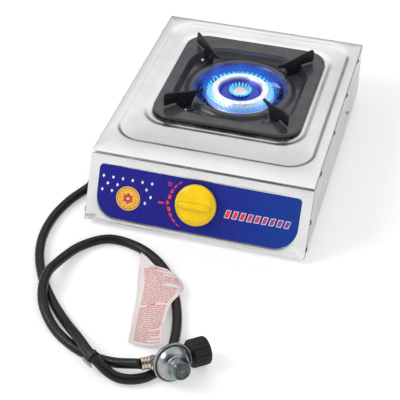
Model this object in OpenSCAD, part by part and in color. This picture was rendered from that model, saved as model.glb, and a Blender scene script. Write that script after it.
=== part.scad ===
// Table-top gas stove with one burner, its hose and its low-pressure regulator.
// Millimetres, +Z up, standing on z = 0. The front is at -Y and slopes outward to its foot.
// The origin is under the middle of the stove without its hose.

/* [Casing] */
// Width of the casing
casing_w = 340; // [320:1:380]
// Depth of the flat top
top_depth = 418; // [400:1:460]
// Height of the casing above its feet
casing_h = 98; // [92:1:120]
// How far the foot of the sloping front stands out from its top edge
front_rake = 48; // [36:1:60]
// Thickness of the stainless sheet
sheet_t = 1; // [0.8:0.1:1.4]
// Bend radius of the fold between top and front
fold_r = 4; // [2.5:0.5:6]
// Clearance between sheets that overlap
sheet_gap = 0.2; // [0.1:0.05:0.3]
// Depth of the turned-in flanges
flange_w = 12; // [8:1:16]

/* [Pressed top] */
// Width of the shallow recess in the top
recess_w = 314; // [300:1:322]
// Depth of the shallow recess, front to back
recess_d = 368; // [350:1:372]
// How far the recess lies behind the middle of the top
recess_shift = 15; // [10:1:16]
// Drop of the shallow recess
recess_drop = 3; // [2:0.5:4]
// Corner radius of the recess
recess_r = 44; // [34:1:50]
// Width of the gutter round the pan
gutter_w = 266; // [262:1:276]
// Depth of the gutter, front to back
gutter_d = 292; // [288:1:300]
// Drop of the gutter floor below the recess
gutter_drop = 4; // [3:0.5:5]
// Width of the floor of the gutter that carries the pan
ledge_w = 14; // [12:1:18]

/* [Fascia] */
// Width of the printed fascia
fascia_w = 309; // [280:1:312]
// Height of the printed fascia along the slope
fascia_h = 80; // [74:1:84]
// Distance from the top edge to the fascia
fascia_drop = 18; // [16:1:20]
// Radius of the lower corners of the fascia
fascia_low_r = 34; // [20:1:38]
// Radius of the upper corners of the fascia
fascia_top_r = 7; // [4:1:12]
// Thickness of the fascia
fascia_t = 1; // [0.6:0.1:1.4]
// Width of the groove round the fascia
groove_w = 4.5; // [3:0.5:6]
// Depth of the pocket that holds the fascia
pocket_depth = 1.5; // [1.2:0.1:2]

/* [Pan and pot supports] */
// Width of the enamelled pan
pan_w = 239; // [235:1:242]
// Depth of the enamelled pan, front to back
pan_d = 262; // [258:1:266]
// Corner radius of the pan
pan_r = 36; // [30:1:40]
// Thickness of the pan
pan_t = 1; // [0.8:0.1:1.4]
// Height of the rim of the pan above its seat
pan_rim_h = 7.5; // [6:0.5:9]
// Width of the pressed well of the pan
well_w = 200; // [192:1:204]
// Depth of the pressed well, front to back
well_d = 212; // [206:1:216]
// Drop of the well below the rim of the pan
well_drop = 13; // [11:0.5:15]
// Radius of the hole round the burner
hole_r = 71; // [68:0.5:74]
// Radius of the raised ring round the hole
crest_r = 80; // [78:0.5:83]
// Height of the raised ring above the floor of the well
crest_h = 7; // [5:0.5:9]
// Thickness of each pot support
fin_t = 3; // [2:0.25:4]
// Distance from the burner's middle to the tip of a pot support
fin_inner = 69; // [66:1:74]
// Distance from the burner's middle to the outer edge of a pot support
fin_outer = 141; // [137:1:145]
// Height of the outer corner of a pot support above the pan
fin_h = 24; // [20:1:30]
// Height of the inner tip of a pot support above the pan
fin_tip_h = 13; // [10:1:18]
// Diameter of the rivets of the pot supports
rivet_d = 5; // [4:0.5:6]

/* [Burner] */
// How far the burner lies behind the middle of the top
burner_shift = 30; // [28:1:32]
// Radius of the foot of the burner ring
ring_foot_r = 56; // [53:0.5:59]
// Outer radius of the flat top of the ring
ring_top_r = 45.5; // [43:0.5:47]
// Inner radius of the flat top of the ring
ring_bore_r = 36.5; // [35:0.5:38]
// Height of the burner ring
ring_h = 14; // [12:1:16]
// How far the top of the ring lies below the top of the casing
ring_drop = 9; // [7:1:12]
// Wall of the burner ring
ring_t = 2.5; // [2:0.25:3]
// Ports in each row round the ring
port_count = 40; // [24:1:48]
// Diameter of a port
port_d = 2.2; // [1.6:0.1:2.6]
// Radius of the middle cap
cap_r = 13.3; // [12.5:0.1:13.5]
// Slots round the middle cap
cap_slots = 16; // [12:1:20]
// Outer diameter of the mixing tube
tube_d = 24; // [22:0.5:26]
// Wall of the mixing tube and the burner casting
cast_t = 2.5; // [2:0.25:3]
// Width of the bar that carries the burner
bar_w = 22; // [18:1:26]

/* [Gas valve] */
// Distance from the top edge to the knob's axis along the slope
knob_drop = 54; // [50:1:58]
// Diameter of the valve body
valve_d = 28; // [26:0.5:32]
// Diameter of the spindle
spindle_d = 8; // [6:0.5:9]
// How far the knob can be pushed in
push_travel = 4; // [2:0.5:4.5]
// Radial clearance of the running fits
run_gap = 0.05; // [0.03:0.01:0.08]
// Diameter of the gas pipe
pipe_d = 8; // [7:0.5:9]

/* [Knob] */
// Diameter of the knob
knob_d = 63; // [56:1:68]
// Height of the knob's skirt
skirt_h = 5; // [4:0.5:7]
// Height of the step above the skirt
step_h = 4; // [3:0.5:6]
// Height of the grip bar above the step
grip_h = 10; // [7:0.5:13]
// Thickness of the grip bar
grip_t = 11; // [9:0.5:14]
// Gap left under the knob when it is pushed in
knob_clear = 2; // [1.5:0.5:3]

/* [Feet] */
// Height of the rubber feet
foot_h = 8; // [6:1:12]
// Diameter of the rubber feet
foot_d = 24; // [20:1:28]
// Diameter of the screws
screw_d = 4; // [3:0.5:4.5]
// Distance from the side of the casing to a foot
foot_inset = 34; // [30:1:44]

/* [Hose and regulator] */
// Diameter of the hose
hose_d = 14; // [12:0.5:14]
// Outer radius of the regulator's rim
reg_r = 27.5; // [27:0.5:30]
// Turn of the regulator about the vertical
reg_yaw = 43; // [40:1:46]
// Lean of the regulator's face from upright
reg_lean = 18; // [16:1:20]
// Droop of the coupling end of the regulator
reg_droop = 5; // [4:0.5:5.5]
// Turn of the regulator's outlet away from its inlet line
outlet_turn = 14; // [12:1:16]
// Diameter of the coupling wheel
wheel_d = 39; // [38:0.5:39]
// Length of the coupling wheel
wheel_l = 25; // [23:1:26]
// Diameter of the coupling thread
thread_d = 33.4; // [33:0.1:34]
// Ribs round the coupling wheel
wheel_ribs = 16; // [10:1:20]

/* [Hidden] */
$fn = 96;
cut = 0.01;               // how far a cutting shape passes a surface
steel = "#d4d5d6";
enamel = "#3a3b3d";
brass = "#c9a45a";
cast = "#b9bbbd";
black = "#1e1e1f";

// heights
base_z = foot_h;
top_z = foot_h + casing_h;
recess_z = top_z - recess_drop;
gutter_z = recess_z - gutter_drop;
pan_z = gutter_z + pan_rim_h;              // upper face of the pan's border
ring_top_z = top_z - ring_drop;
ring_seat_z = ring_top_z - ring_h;

// slope of the front
slope_l = sqrt(casing_h * casing_h + front_rake * front_rake);
face_angle = atan2(casing_h, front_rake);
fold_angle = face_angle;
step_back = sheet_t / sin(face_angle);     // the sheet's thickness measured level through the slope

// lengths along Y, with the stove centred between the knob's lower edge and the inlet nipple
nipple_l = 12;
knob_top = push_travel + knob_clear - pocket_depth + fascia_t + skirt_h;
knob_reach = (knob_drop + knob_d / 2) * cos(face_angle) + knob_top * sin(face_angle);
overall_d = top_depth + nipple_l + max(front_rake, knob_reach);
rear_y = overall_d / 2 - nipple_l;
front_top_y = rear_y - top_depth;
front_low_y = front_top_y - front_rake;
mid_y = (rear_y + front_top_y) / 2;
recess_y = mid_y + recess_shift;
well_y = mid_y + burner_shift;
pan_y = well_y;

// the valve's line, measured outward from the face of the casing
plate_in = -pocket_depth - sheet_t;        // inner face of the front sheet
fascia_out = fascia_t - pocket_depth;      // outer face of the fascia
cover_t = 3;
body_out = plate_in - sheet_gap - cover_t; // outer face of the valve body
collar_t = 1.5;
spring_l = 10;
spring_out = body_out - 0.2 - collar_t;
plug_out = spring_out - spring_l;
plug_l = 17;
plug_r = 8.5;
plug_tip_r = 6.5;
plug_in = plug_out - plug_l;
body_in = plug_in - 4;
gas_out = plug_in + 6.5;                   // where the inlet and the outlet cross the plug
spindle_in = plug_out - 4;
knob_gap = push_travel + knob_clear;
valve_y = front_top_y - knob_drop * cos(face_angle) - gas_out * sin(face_angle);
valve_z = top_z - knob_drop * sin(face_angle) + gas_out * cos(face_angle);

// the mixing tube, along Y at the height of the valve's outlet
boss_end_y = valve_y + 22;
mouth_y = boss_end_y + 12;
mouth_r = 17;
throat_r = tube_d / 2 - cast_t;
shutter_t = 1.2;
window_r = 10.5;
socket_r = tube_d / 2 + cast_t;
bowl_r = ring_foot_r - 6;
bowl_low_z = valve_z - socket_r - cast_t;
socket_y = well_y - 62;
tube_end_y = socket_y + 22;
bar_y = well_y + 58;
bar_z = 56;
bar_h = 5;

// the inlet at the rear
inlet_x = -63;
inlet_z = valve_z;
nipple_d = 16;
nut_af = 22;
hose_nut_l = 15;
ferrule_l = 20;
hose_start_y = rear_y + 5 + hose_nut_l + ferrule_l;
ferrule_d = hose_d + 3;

// the pan's well
floor_z = pan_z - well_drop;
crest_z = floor_z + crest_h;
well_r = 62;
rivet_r = crest_r + 28;
rivet_side = 8;                            // how far the rivets stand beside the blades

// the regulator, in a frame whose Z is the axis of its dome and whose X points to its inlet
rim_t = 4.5;
reg_at = [50.2, -505.2, reg_r * cos(reg_lean) + rim_t * sin(reg_lean) + 0.1];
port_z = -10.7;
port_r = 7.5;
outlet_l = 18.5;
outlet_nut_l = 7;
outlet_ferrule_l = 12.7;
outlet_run = outlet_l + outlet_nut_l + outlet_ferrule_l;
nose_x = 15;
nose_r = 5.9;
wheel_x = reg_r + 1.3;
wheel_end = wheel_x + wheel_l;
tag_t = 0.8;

function droop(p) = let (c = cos(reg_droop), s = sin(reg_droop))
  [c * p[0] + s * p[1], c * p[1] - s * p[0], p[2]];
function lean(p) = let (c = sin(reg_lean), s = cos(reg_lean))
  [p[0], c * p[1] - s * p[2], s * p[1] + c * p[2]];
function yaw(p) = let (c = cos(reg_yaw), s = sin(reg_yaw))
  [c * p[0] - s * p[1], s * p[0] + c * p[1], p[2]];
function outlet_point(l) = reg_at + front_move
  + yaw(lean(droop([-l * cos(outlet_turn), 0, port_z - l * sin(outlet_turn)])));

// The hose's route between its two ferrules, laid out for a stove 340 wide and 418 deep
hose_points = [
  [-63, 290, 42], [-80, 331, 31], [-121, 348, 21], [-162, 331, 12], [-179, 290, 7.5],
  [-180, 245, 7], [-180, 150, 7], [-179, 60, 7], [-178, -40, 7], [-180, -112, 7],
  [-190, -157, 7], [-207, -198, 7], [-217, -243, 7], [-216, -292, 7], [-203, -338, 7],
  [-180, -382, 7], [-151, -421, 7.5], [-119, -456, 11], [-88, -489, 20.5], [-57, -518, 22],
  [-19, -534, 10.5], [16, -522, 7.5], [35, -488, 7], [34, -444, 7], [24, -398, 7], [4, -350, 7],
  [-25, -307, 7], [-68, -277, 7], [-117, -270, 7.5], [-152, -296, 8], [-169, -342, 14],
  [-173, -388, 21.6], [-161, -432, 16], [-133, -467, 8], [-98, -492, 7], [-64, -505, 7.2],
  [-28, -513, 13.5]
];
// how far the parts of the route move with the casing's walls
side_move = 170 - casing_w / 2;
front_move = [side_move, front_low_y + 239, 0];
rear_move = [side_move, rear_y - 227, 0];
hose_start = [inlet_x, hose_start_y, inlet_z];
hose_route = concat([hose_start],
                    [for (p = hose_points) p + (p[1] > 200 ? rear_move : front_move)],
                    [outlet_point(outlet_run)]);
hose_sides = 8;
rings_per_span = 2;

// A rectangle with round corners
module rounded_rect(w, d, r) {
  square([w - 2 * r, d], center = true);
  square([w, d - 2 * r], center = true);
  for (sx = [-1, 1], sy = [-1, 1])
    translate([sx * (w / 2 - r), sy * (d / 2 - r)]) circle(r);
}

// The outline of the fascia, with other radii above and below, grown all round
module fascia_outline(grow) {
  w = fascia_w / 2;
  low = -fascia_drop - fascia_h;
  r1 = fascia_top_r;
  r2 = fascia_low_r;
  difference() {
    translate([-w - grow, low - grow]) square([fascia_w + 2 * grow, fascia_h + 2 * grow]);
    for (s = [-1, 1]) {
      corner_waste(s * w, -fascia_drop, s, 1, r1, grow);
      corner_waste(s * w, low, s, -1, r2, grow);
    }
  }
}

// What a round corner of radius r leaves over of a square one
module corner_waste(x, y, sx, sy, r, grow) {
  side = r + grow;
  difference() {
    translate([x - sx * r, y - sy * r]) scale([sx, sy]) square(side + cut);
    translate([x - sx * r, y - sy * r]) circle(side);
  }
}

// Places things on the sloping front: x across, v down the slope, out along its normal
module on_front(x, v, out) {
  translate([0, front_top_y, top_z]) rotate([face_angle, 0, 0]) translate([x, -v, out]) children();
}

// A solid between two round-cornered outlines at two heights
module pressing(w1, d1, r1, z1, w2, d2, r2, z2) {
  hull() {
    translate([0, 0, z1]) linear_extrude(cut) rounded_rect(w1, d1, r1, $fn = 40);
    translate([0, 0, z2]) linear_extrude(cut) rounded_rect(w2, d2, r2, $fn = 40);
  }
}

function arc(cy, cz, r, a0, a1, n) = [
  for (i = [0:n]) let (a = a0 + (a1 - a0) * i / n) [cy + r * cos(a), cz + r * sin(a)]
];

// positions of the hooks that join the top to the side panels
hook_pitch = top_depth / 4 + 4;
hook_z = top_z - 9;
hook_l = 9;
hook_t = 2.6;
hook_v = [51, 92];

module hooks(grow) {
  for (sx = [-1, 1]) {
    for (i = [-1.5:1:1.5])
      translate([sx * (casing_w / 2 - sheet_t), mid_y + i * hook_pitch, hook_z])
        cube([3 * sheet_t, hook_l + 2 * grow, hook_t + 2 * grow], center = true);
    for (v = hook_v)
      on_front(sx * (casing_w / 2 - sheet_t), v, -8)
        cube([3 * sheet_t, hook_l + 2 * grow, hook_t + 2 * grow], center = true);
  }
}

module top_panel() {
  tangent = fold_r * tan(fold_angle / 2);
  fold_y = front_top_y + tangent;
  fold_z = top_z - fold_r;
  flange_x = casing_w / 2 - 1.5 * sheet_t - sheet_gap;
  color(steel) difference() {
    union() {
      rotate([90, 0, 90]) linear_extrude(casing_w, center = true) polygon(concat(
        [[rear_y, top_z]],
        arc(fold_y, fold_z, fold_r, 90, 90 + fold_angle, 6),
        [[front_low_y, base_z], [front_low_y + flange_w, base_z],
         [front_low_y + flange_w, base_z + sheet_t],
         [front_low_y + sheet_t * cos(face_angle) / sin(face_angle) + step_back, base_z + sheet_t]],
        arc(fold_y, fold_z, fold_r - sheet_t, 90 + fold_angle, 90, 6),
        [[rear_y, top_z - sheet_t]]));
      translate([0, recess_y, 0])
        pressing(recess_w, recess_d, recess_r, top_z - sheet_t,
                 recess_w - 2 * recess_drop, recess_d - 2 * recess_drop, recess_r - recess_drop,
                 recess_z - sheet_t);
      translate([0, pan_y, 0])
        pressing(gutter_w + 2 * sheet_t, gutter_d + 2 * sheet_t, pan_r + 10, recess_z - sheet_t,
                 pan_w + 8, pan_d + 8, pan_r + 4, gutter_z - sheet_t);
      on_front(0, 0, -pocket_depth - sheet_t) linear_extrude(pocket_depth + sheet_t / 2)
        fascia_outline(groove_w + sheet_t);
      for (s = [-1, 1]) {
        translate([s * flange_x - sheet_t / 2, front_top_y + flange_w, top_z - flange_w])
          cube([sheet_t, top_depth - 3 * flange_w, flange_w - sheet_t / 2]);
        on_front(s * flange_x, slope_l - flange_w, -flange_w) translate([-sheet_t / 2, 0, 0])
          cube([sheet_t, slope_l - 2.5 * flange_w, flange_w - sheet_t / 2]);
      }
      hooks(0);
    }
    translate([0, recess_y, 0])
      pressing(recess_w, recess_d, recess_r, top_z,
               recess_w - 4 * recess_drop, recess_d - 4 * recess_drop, recess_r - 2 * recess_drop,
               recess_z);
    translate([0, pan_y, 0]) {
      pressing(gutter_w, gutter_d, pan_r + 9, recess_z,
               pan_w + 6, pan_d + 6, pan_r + 3, gutter_z);
      translate([0, 0, gutter_z - 2 * sheet_t]) linear_extrude(gutter_drop)
        rounded_rect(pan_w + 6 - 2 * ledge_w, pan_d + 6 - 2 * ledge_w, pan_r + 3 - ledge_w);
    }
    on_front(0, 0, -pocket_depth) linear_extrude(2 * pocket_depth) fascia_outline(groove_w);
    on_front(0, knob_drop, -10) cylinder(r = valve_d / 4 + 2, h = 20);
    valve_screw_places() translate([0, 0, -10]) cylinder(d = screw_d + 0.4, h = 20);
  }
}

module side_panel(s) {
  edge = sheet_t + sheet_gap;
  slot = 0.3;
  front_y = edge / sin(face_angle);        // the slope's clearance, measured level
  low_y = front_low_y + flange_w + sheet_gap;
  low_z = base_z + edge;
  high_z = top_z - edge;
  high_y = front_top_y + front_y - edge / tan(face_angle);
  cut_back = 0.7 * fold_r;                 // clears the inside of the fold
  color(steel) difference() {
    union() {
      translate([s * casing_w / 2 - (s + 1) * sheet_t / 2, 0, 0]) rotate([90, 0, 90])
        linear_extrude(sheet_t)
          polygon([[rear_y - edge, base_z], [rear_y - edge, high_z],
                   [high_y + cut_back, high_z],
                   [high_y - cut_back * cos(face_angle), high_z - cut_back * sin(face_angle)],
                   [front_low_y + front_y + edge / tan(face_angle), low_z],
                   [low_y, low_z], [low_y, base_z]]);
      translate([s * (casing_w - flange_w) / 2 - flange_w / 2, low_y, base_z])
        cube([flange_w, rear_y - edge - low_y, sheet_t]);
      translate([s * (casing_w - flange_w) / 2 - flange_w / 2, rear_y - edge - sheet_t, base_z])
        cube([flange_w, sheet_t, casing_h - edge - flange_w]);
    }
    hooks(slot);
    for (i = [0, 1]) translate([s * casing_w / 2, well_y + 54 - 20 * i, 46])
      cube([4 * sheet_t, 2.4, 7], center = true);
    rail_screw_places() cylinder(d = screw_d + 0.4, h = 20, center = true);
    rear_screw_places() cylinder(d = screw_d + 0.4, h = 20, center = true);
    bar_screw_places() cylinder(d = screw_d + 0.4, h = 20, center = true);
  }
}

module side_panel_left() { side_panel(-1); }
module side_panel_right() { side_panel(1); }

module rear_panel() {
  edge = sheet_t + sheet_gap;
  inner_w = casing_w - 2 * (flange_w + sheet_gap);
  top_flange = 6;
  color(steel) difference() {
    union() {
      translate([-casing_w / 2, rear_y - sheet_t, base_z]) cube([casing_w, sheet_t, casing_h - edge]);
      translate([-inner_w / 2, rear_y - flange_w, base_z]) cube([inner_w, flange_w, sheet_t]);
      translate([-inner_w / 2, rear_y - top_flange, top_z - edge - sheet_t])
        cube([inner_w, top_flange, sheet_t]);
    }
    for (i = [-4:4], row = [0, 1])
      translate([i * 28, rear_y, top_z - 26 - 12 * row]) rotate([90, 0, 0])
        linear_extrude(4 * sheet_t, center = true) rounded_rect(18, 4, 1.9);
    translate([inlet_x, rear_y, inlet_z]) rotate([90, 0, 0])
      cylinder(d = nipple_d + 0.4, h = 4 * sheet_t, center = true);
    rear_screw_places() cylinder(d = screw_d + 0.4, h = 20, center = true);
  }
}

module fascia_plate() {
  color("#2b3593") on_front(0, 0, 0.05 - pocket_depth) difference() {
    linear_extrude(fascia_t) fascia_outline(0);
    translate([0, -knob_drop, -1]) cylinder(r = valve_d / 4 + 2, h = 4);
    for (s = [-1, 1]) translate([s * screw_reach, -knob_drop, -1]) cylinder(d = screw_d + 0.4, h = 4);
  }
}

// the two screws under the knob
screw_reach = valve_d / 2 + 4;
module valve_screw_places() {
  for (s = [-1, 1]) on_front(s * screw_reach, knob_drop, 0) children();
}

rail_w = 30;
rail_h = 12;
rail_t = 1.2;
rail_z = base_z + sheet_t + sheet_gap;
rail_ys = [front_low_y + 70, rear_y - 60];

module rail_screw_places() {
  for (sx = [-1, 1], y = rail_ys)
    translate([sx * (casing_w / 2 - flange_w / 2 - 1), y, base_z]) children();
}

module rear_screw_places() {
  for (sx = [-1, 1], z = [base_z + 16, top_z - 30])
    translate([sx * (casing_w / 2 - flange_w / 2 - 1), rear_y, z]) rotate([-90, 0, 0]) children();
}

module bar_screw_places() {
  for (sx = [-1, 1])
    translate([sx * casing_w / 2, bar_y, bar_z - 12]) rotate([0, sx * 90, 0]) children();
}

module base_rail(y) {
  l = casing_w - 2 * (sheet_t + sheet_gap);
  color(steel) difference() {
    translate([0, y, rail_z]) rotate([90, 0, 90]) linear_extrude(l, center = true)
      difference() {
        translate([-rail_w / 2, 0]) square([rail_w, rail_h]);
        translate([-rail_w / 2 + rail_t, rail_t]) square([rail_w - 2 * rail_t, rail_h]);
      }
    rail_screw_places() cylinder(d = screw_d + 0.4, h = 20, center = true);
    for (s = [-1, 1]) translate([s * (casing_w / 2 - foot_inset), y, 0]) cylinder(d = 8.4, h = 40);
  }
}

module base_rail_front() { base_rail(rail_ys[0]); }
module base_rail_rear() { base_rail(rail_ys[1]); }

// A push-in rubber foot: pad, neck through the rail and a bead above it
module foot(x, y) {
  neck = 8;
  bead = 11;
  color(black) translate([x, y, 0]) rotate_extrude()
    polygon([[0, 0], [foot_d / 2 - 2, 0], [foot_d / 2, 1.5], [foot_d / 2 - 1.5, rail_z - 0.1],
             [neck / 2, rail_z - 0.1], [neck / 2, rail_z + rail_t + 0.2],
             [bead / 2, rail_z + rail_t + 0.2], [bead / 2 - 1.5, rail_z + rail_t + 4],
             [0, rail_z + rail_t + 5]]);
}

foot_x = casing_w / 2 - foot_inset;
module foot_front_left() { foot(-foot_x, rail_ys[0]); }
module foot_front_right() { foot(foot_x, rail_ys[0]); }
module foot_rear_left() { foot(-foot_x, rail_ys[1]); }
module foot_rear_right() { foot(foot_x, rail_ys[1]); }

// A pan-head screw pointing down its own Z, with its head above z = 0
module screw(l) {
  head_h = 0.55 * screw_d;
  difference() {
    union() {
      rotate_extrude() polygon([[0, 0], [screw_d, 0], [screw_d, head_h / 2],
                                [0.7 * screw_d, head_h], [0, head_h]]);
      translate([0, 0, -l]) cylinder(d = screw_d, h = l + cut);
    }
    for (a = [0, 90]) rotate([0, 0, a]) translate([0, 0, head_h])
      cube([1.1 * screw_d, 0.2 * screw_d, head_h], center = true);
  }
}

module casing_screws() {
  color(cast) {
    rear_screw_places() translate([0, 0, 0.1]) screw(7);
    rail_screw_places() rotate([180, 0, 0]) translate([0, 0, 0.1]) screw(7);
    bar_screw_places() translate([0, 0, 0.1]) screw(7);
  }
}

// The bar that carries the burner: a channel with a turned-down ear at each end
module burner_bar() {
  l = casing_w - 2 * (sheet_t + sheet_gap);
  color(cast) difference() {
    union() {
      translate([0, bar_y, bar_z - bar_h]) rotate([90, 0, 90]) linear_extrude(l, center = true)
        difference() {
          translate([-bar_w / 2, 0]) square([bar_w, bar_h]);
          translate([-bar_w / 2 + rail_t, -rail_t]) square([bar_w - 2 * rail_t, bar_h]);
        }
      for (s = [-1, 1])
        translate([s * (l - rail_t) / 2, bar_y, bar_z - 10])
          cube([rail_t, bar_w - 2 * rail_t - 1, 18], center = true);
    }
    bar_screw_places() cylinder(d = screw_d + 0.4, h = 20, center = true);
    burner_screw_places() cylinder(d = screw_d + 0.4, h = 20, center = true);
  }
}

lug_x = 30;
lug_t = 4;
module burner_screw_places() {
  for (s = [-1, 1]) translate([s * lug_x, bar_y, bar_z]) children();
}

// The cast bowl under the ring, with a socket for the mixing tube and the post of the middle flame
module burner_body() {
  post_r = cap_r - 0.8;
  post_bore = post_r - cast_t;
  post_top = ring_seat_z + ring_h - 9;
  foot_r = socket_r + 14;
  lip_z = ring_seat_z - 4;
  color(cast) difference() {
    union() {
      translate([0, well_y, 0]) rotate_extrude()
        polygon([[0, bowl_low_z], [foot_r, bowl_low_z], [foot_r, valve_z + socket_r + 1],
                 [bowl_r, lip_z - 4], [ring_foot_r - 1, lip_z], [ring_foot_r - 1, ring_seat_z],
                 [bowl_r, ring_seat_z], [bowl_r - 1, ring_seat_z + 3],
                 [bowl_r - cast_t, ring_seat_z + 3],
                 [bowl_r - cast_t, lip_z - 2], [foot_r - cast_t, valve_z + socket_r + 2],
                 [foot_r - cast_t, bowl_low_z + cast_t], [0, bowl_low_z + cast_t]]);
      translate([0, well_y, valve_z + 4]) cylinder(r = post_r, h = post_top - valve_z - 4);
      for (a = [90, 210, 330]) translate([0, well_y, 0]) rotate([0, 0, a])
        translate([post_bore + 0.5, -cast_t / 2, valve_z + 6]) cube([foot_r - post_bore - 1, cast_t, 14]);
      translate([0, socket_y, valve_z]) rotate([-90, 0, 0])
        cylinder(r = socket_r, h = well_y - socket_y - foot_r + cast_t);
      for (s = [-1, 1])
        translate([s * lug_x - 9, well_y + 14, bar_z]) cube([18, bar_y - well_y - 14 + 9, lug_t]);
    }
    translate([0, socket_y - 1, valve_z]) rotate([-90, 0, 0])
      cylinder(d = tube_d + 2 * run_gap, h = well_y - socket_y);
    translate([0, well_y, valve_z + 3]) cylinder(r = post_bore, h = ring_top_z);
    translate([0, well_y, 0]) rotate_extrude()
      polygon([[post_r + cut, valve_z + 22], [foot_r - cast_t - 2, valve_z + 22],
               [bowl_r - cast_t, lip_z - 2], [bowl_r - cast_t, ring_seat_z + 4],
               [post_r + cut, ring_seat_z + 4]]);
    burner_screw_places() cylinder(d = screw_d + 0.4, h = 20, center = true);
  }
}

module burner_screws() {
  color(brass) burner_screw_places() translate([0, 0, lug_t + 0.1]) screw(14);
}

// The mixing tube: a pierced end plate, a wide mouth, a throat and the long parallel part
module mixing_tube() {
  l = tube_end_y - mouth_y;
  plate = 2;
  cone = 22;
  color(cast) translate([0, mouth_y, valve_z]) rotate([-90, 0, 0]) difference() {
    rotate_extrude()
      polygon([[0, 0], [mouth_r, 0], [mouth_r, 14], [tube_d / 2, 14 + cone], [tube_d / 2, l],
               [throat_r + 0.5, l], [throat_r - 2, 18 + cone], [mouth_r - cast_t, 14],
               [mouth_r - cast_t, plate], [0, plate]]);
    translate([0, 0, -1]) cylinder(r = 4.5, h = 4);
    windows(0, 4);
  }
}

// Four air windows about the tube's axis
module windows(turn, h) {
  for (a = [0:90:270]) rotate([0, 0, a + turn]) translate([window_r, 0, -1]) cylinder(r = 3.6, h = h);
}

module air_shutter() {
  gap = 0.15;
  color(cast) translate([0, mouth_y - gap - shutter_t, valve_z]) rotate([-90, 0, 0]) difference() {
    union() {
      cylinder(r = mouth_r, h = shutter_t);
      translate([-3, mouth_r - 2, 0]) cube([6, 10, shutter_t]);
    }
    translate([0, 0, -1]) cylinder(d = 7 + 2 * run_gap, h = 4);
    windows(0, 4);
  }
}

// The ported ring: sloping skirt, flat top and a dish that runs down to the middle cap
module burner_ring() {
  dish_z = ring_top_z - 10;
  dish_r = cap_r + 1.2;
  slope = atan2(ring_h - 2, ring_foot_r - ring_top_r);
  ring_l = (ring_foot_r - ring_top_r) / cos(slope);
  color("#dcdde0") translate([0, well_y, 0]) difference() {
    rotate_extrude()
      polygon([[ring_foot_r, ring_seat_z], [ring_foot_r, ring_seat_z + 2], [ring_top_r, ring_top_z],
               [ring_bore_r, ring_top_z], [ring_bore_r - 6, dish_z + 1.5], [dish_r, dish_z],
               [dish_r, dish_z - ring_t], [ring_bore_r - 5, dish_z - ring_t + 0.5],
               [ring_bore_r + 1, ring_top_z - ring_t], [ring_top_r - 1.5, ring_top_z - ring_t],
               [bowl_r + 0.6, ring_seat_z + 2], [bowl_r + 0.6, ring_seat_z]]);
    for (row = [0, 1], i = [0:port_count - 1])
      rotate([0, 0, (i + row / 2) * 360 / port_count])
        translate([ring_top_r + ring_l * cos(slope) * (0.36 + 0.27 * row), 0,
                   ring_top_z - (ring_h - 2) * (0.36 + 0.27 * row)])
          rotate([0, 90 - slope, 0]) cylinder(d = port_d, h = 4 * ring_t, center = true, $fn = 8);
  }
}

// The middle cap: a dome over a slotted crown that drops on the post
module burner_cap() {
  seat = ring_seat_z + ring_h - 9 + 0.1;
  crown_h = 5;
  bore = cap_r - 0.8 - cast_t;
  color("#dcdde0") translate([0, well_y, 0]) difference() {
    rotate_extrude()
      polygon([[0, seat + crown_h - 1.5], [bore - 1.6, seat + crown_h - 1.5], [bore - 1.6, seat - 8],
               [bore - 0.1, seat - 8], [bore - 0.1, seat], [cap_r - 0.8, seat],
               [cap_r - 0.8, seat + crown_h - 1], [cap_r, seat + crown_h - 0.6],
               [cap_r - 0.6, seat + crown_h + 0.6], [cap_r - 5, seat + crown_h + 2],
               [0, seat + crown_h + 2.4]]);
    for (i = [0:cap_slots - 1]) rotate([0, 0, i * 360 / cap_slots])
      translate([cap_r - 2.4, 0, seat + 2]) cube([4, 1.2, 2.6], center = true);
  }
}

// The tap's body: spring chamber, tapered seat, gas inlet from the left and outlet to the rear
module valve_body() {
  color(brass) difference() {
    union() {
      on_front(0, knob_drop, body_in) cylinder(d = valve_d, h = body_out - body_in);
      on_front(0, knob_drop, body_out - 6) for (s = [-1, 1]) hull() {
        cylinder(r = 6, h = 6, $fn = 32);
        translate([s * screw_reach, 0, 0]) cylinder(r = 5, h = 6, $fn = 32);
      }
      translate([0, valve_y, valve_z]) rotate([-90, 0, 0]) cylinder(r = 9, h = boss_end_y - valve_y);
      translate([-30, valve_y, valve_z]) rotate([0, 90, 0]) cylinder(r = 8, h = 30);
    }
    on_front(0, knob_drop, plug_out) cylinder(r = plug_r + 2, h = 40);
    on_front(0, knob_drop, plug_in)
      cylinder(r1 = plug_tip_r + run_gap, r2 = plug_r + run_gap, h = plug_l + cut);
    translate([0, valve_y, valve_z]) rotate([-90, 0, 0]) cylinder(r = 2, h = 60);
    translate([0, boss_end_y - 9, valve_z]) rotate([-90, 0, 0]) cylinder(r = 4 + run_gap, h = 20);
    translate([-60, valve_y, valve_z]) rotate([0, 90, 0]) cylinder(r = 2.5, h = 60);
    translate([-60, valve_y, valve_z]) rotate([0, 90, 0]) cylinder(d = pipe_d + 2 * run_gap, h = 42);
    valve_screw_places() translate([0, 0, body_out - 20]) cylinder(d = screw_d + 2 * run_gap, h = 40);
  }
}

module valve_cover() {
  color(brass) on_front(0, knob_drop, body_out) difference() {
    union() {
      cylinder(d = valve_d, h = cover_t);
      for (s = [-1, 1]) hull() {
        cylinder(r = 6, h = cover_t, $fn = 32);
        translate([s * screw_reach, 0, 0]) cylinder(r = 5, h = cover_t, $fn = 32);
      }
    }
    translate([0, 0, -1]) cylinder(d = spindle_d + 2 * run_gap, h = 10);
    for (s = [-1, 1]) translate([s * screw_reach, 0, -1]) cylinder(d = screw_d + 0.4, h = 10);
  }
}

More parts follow.
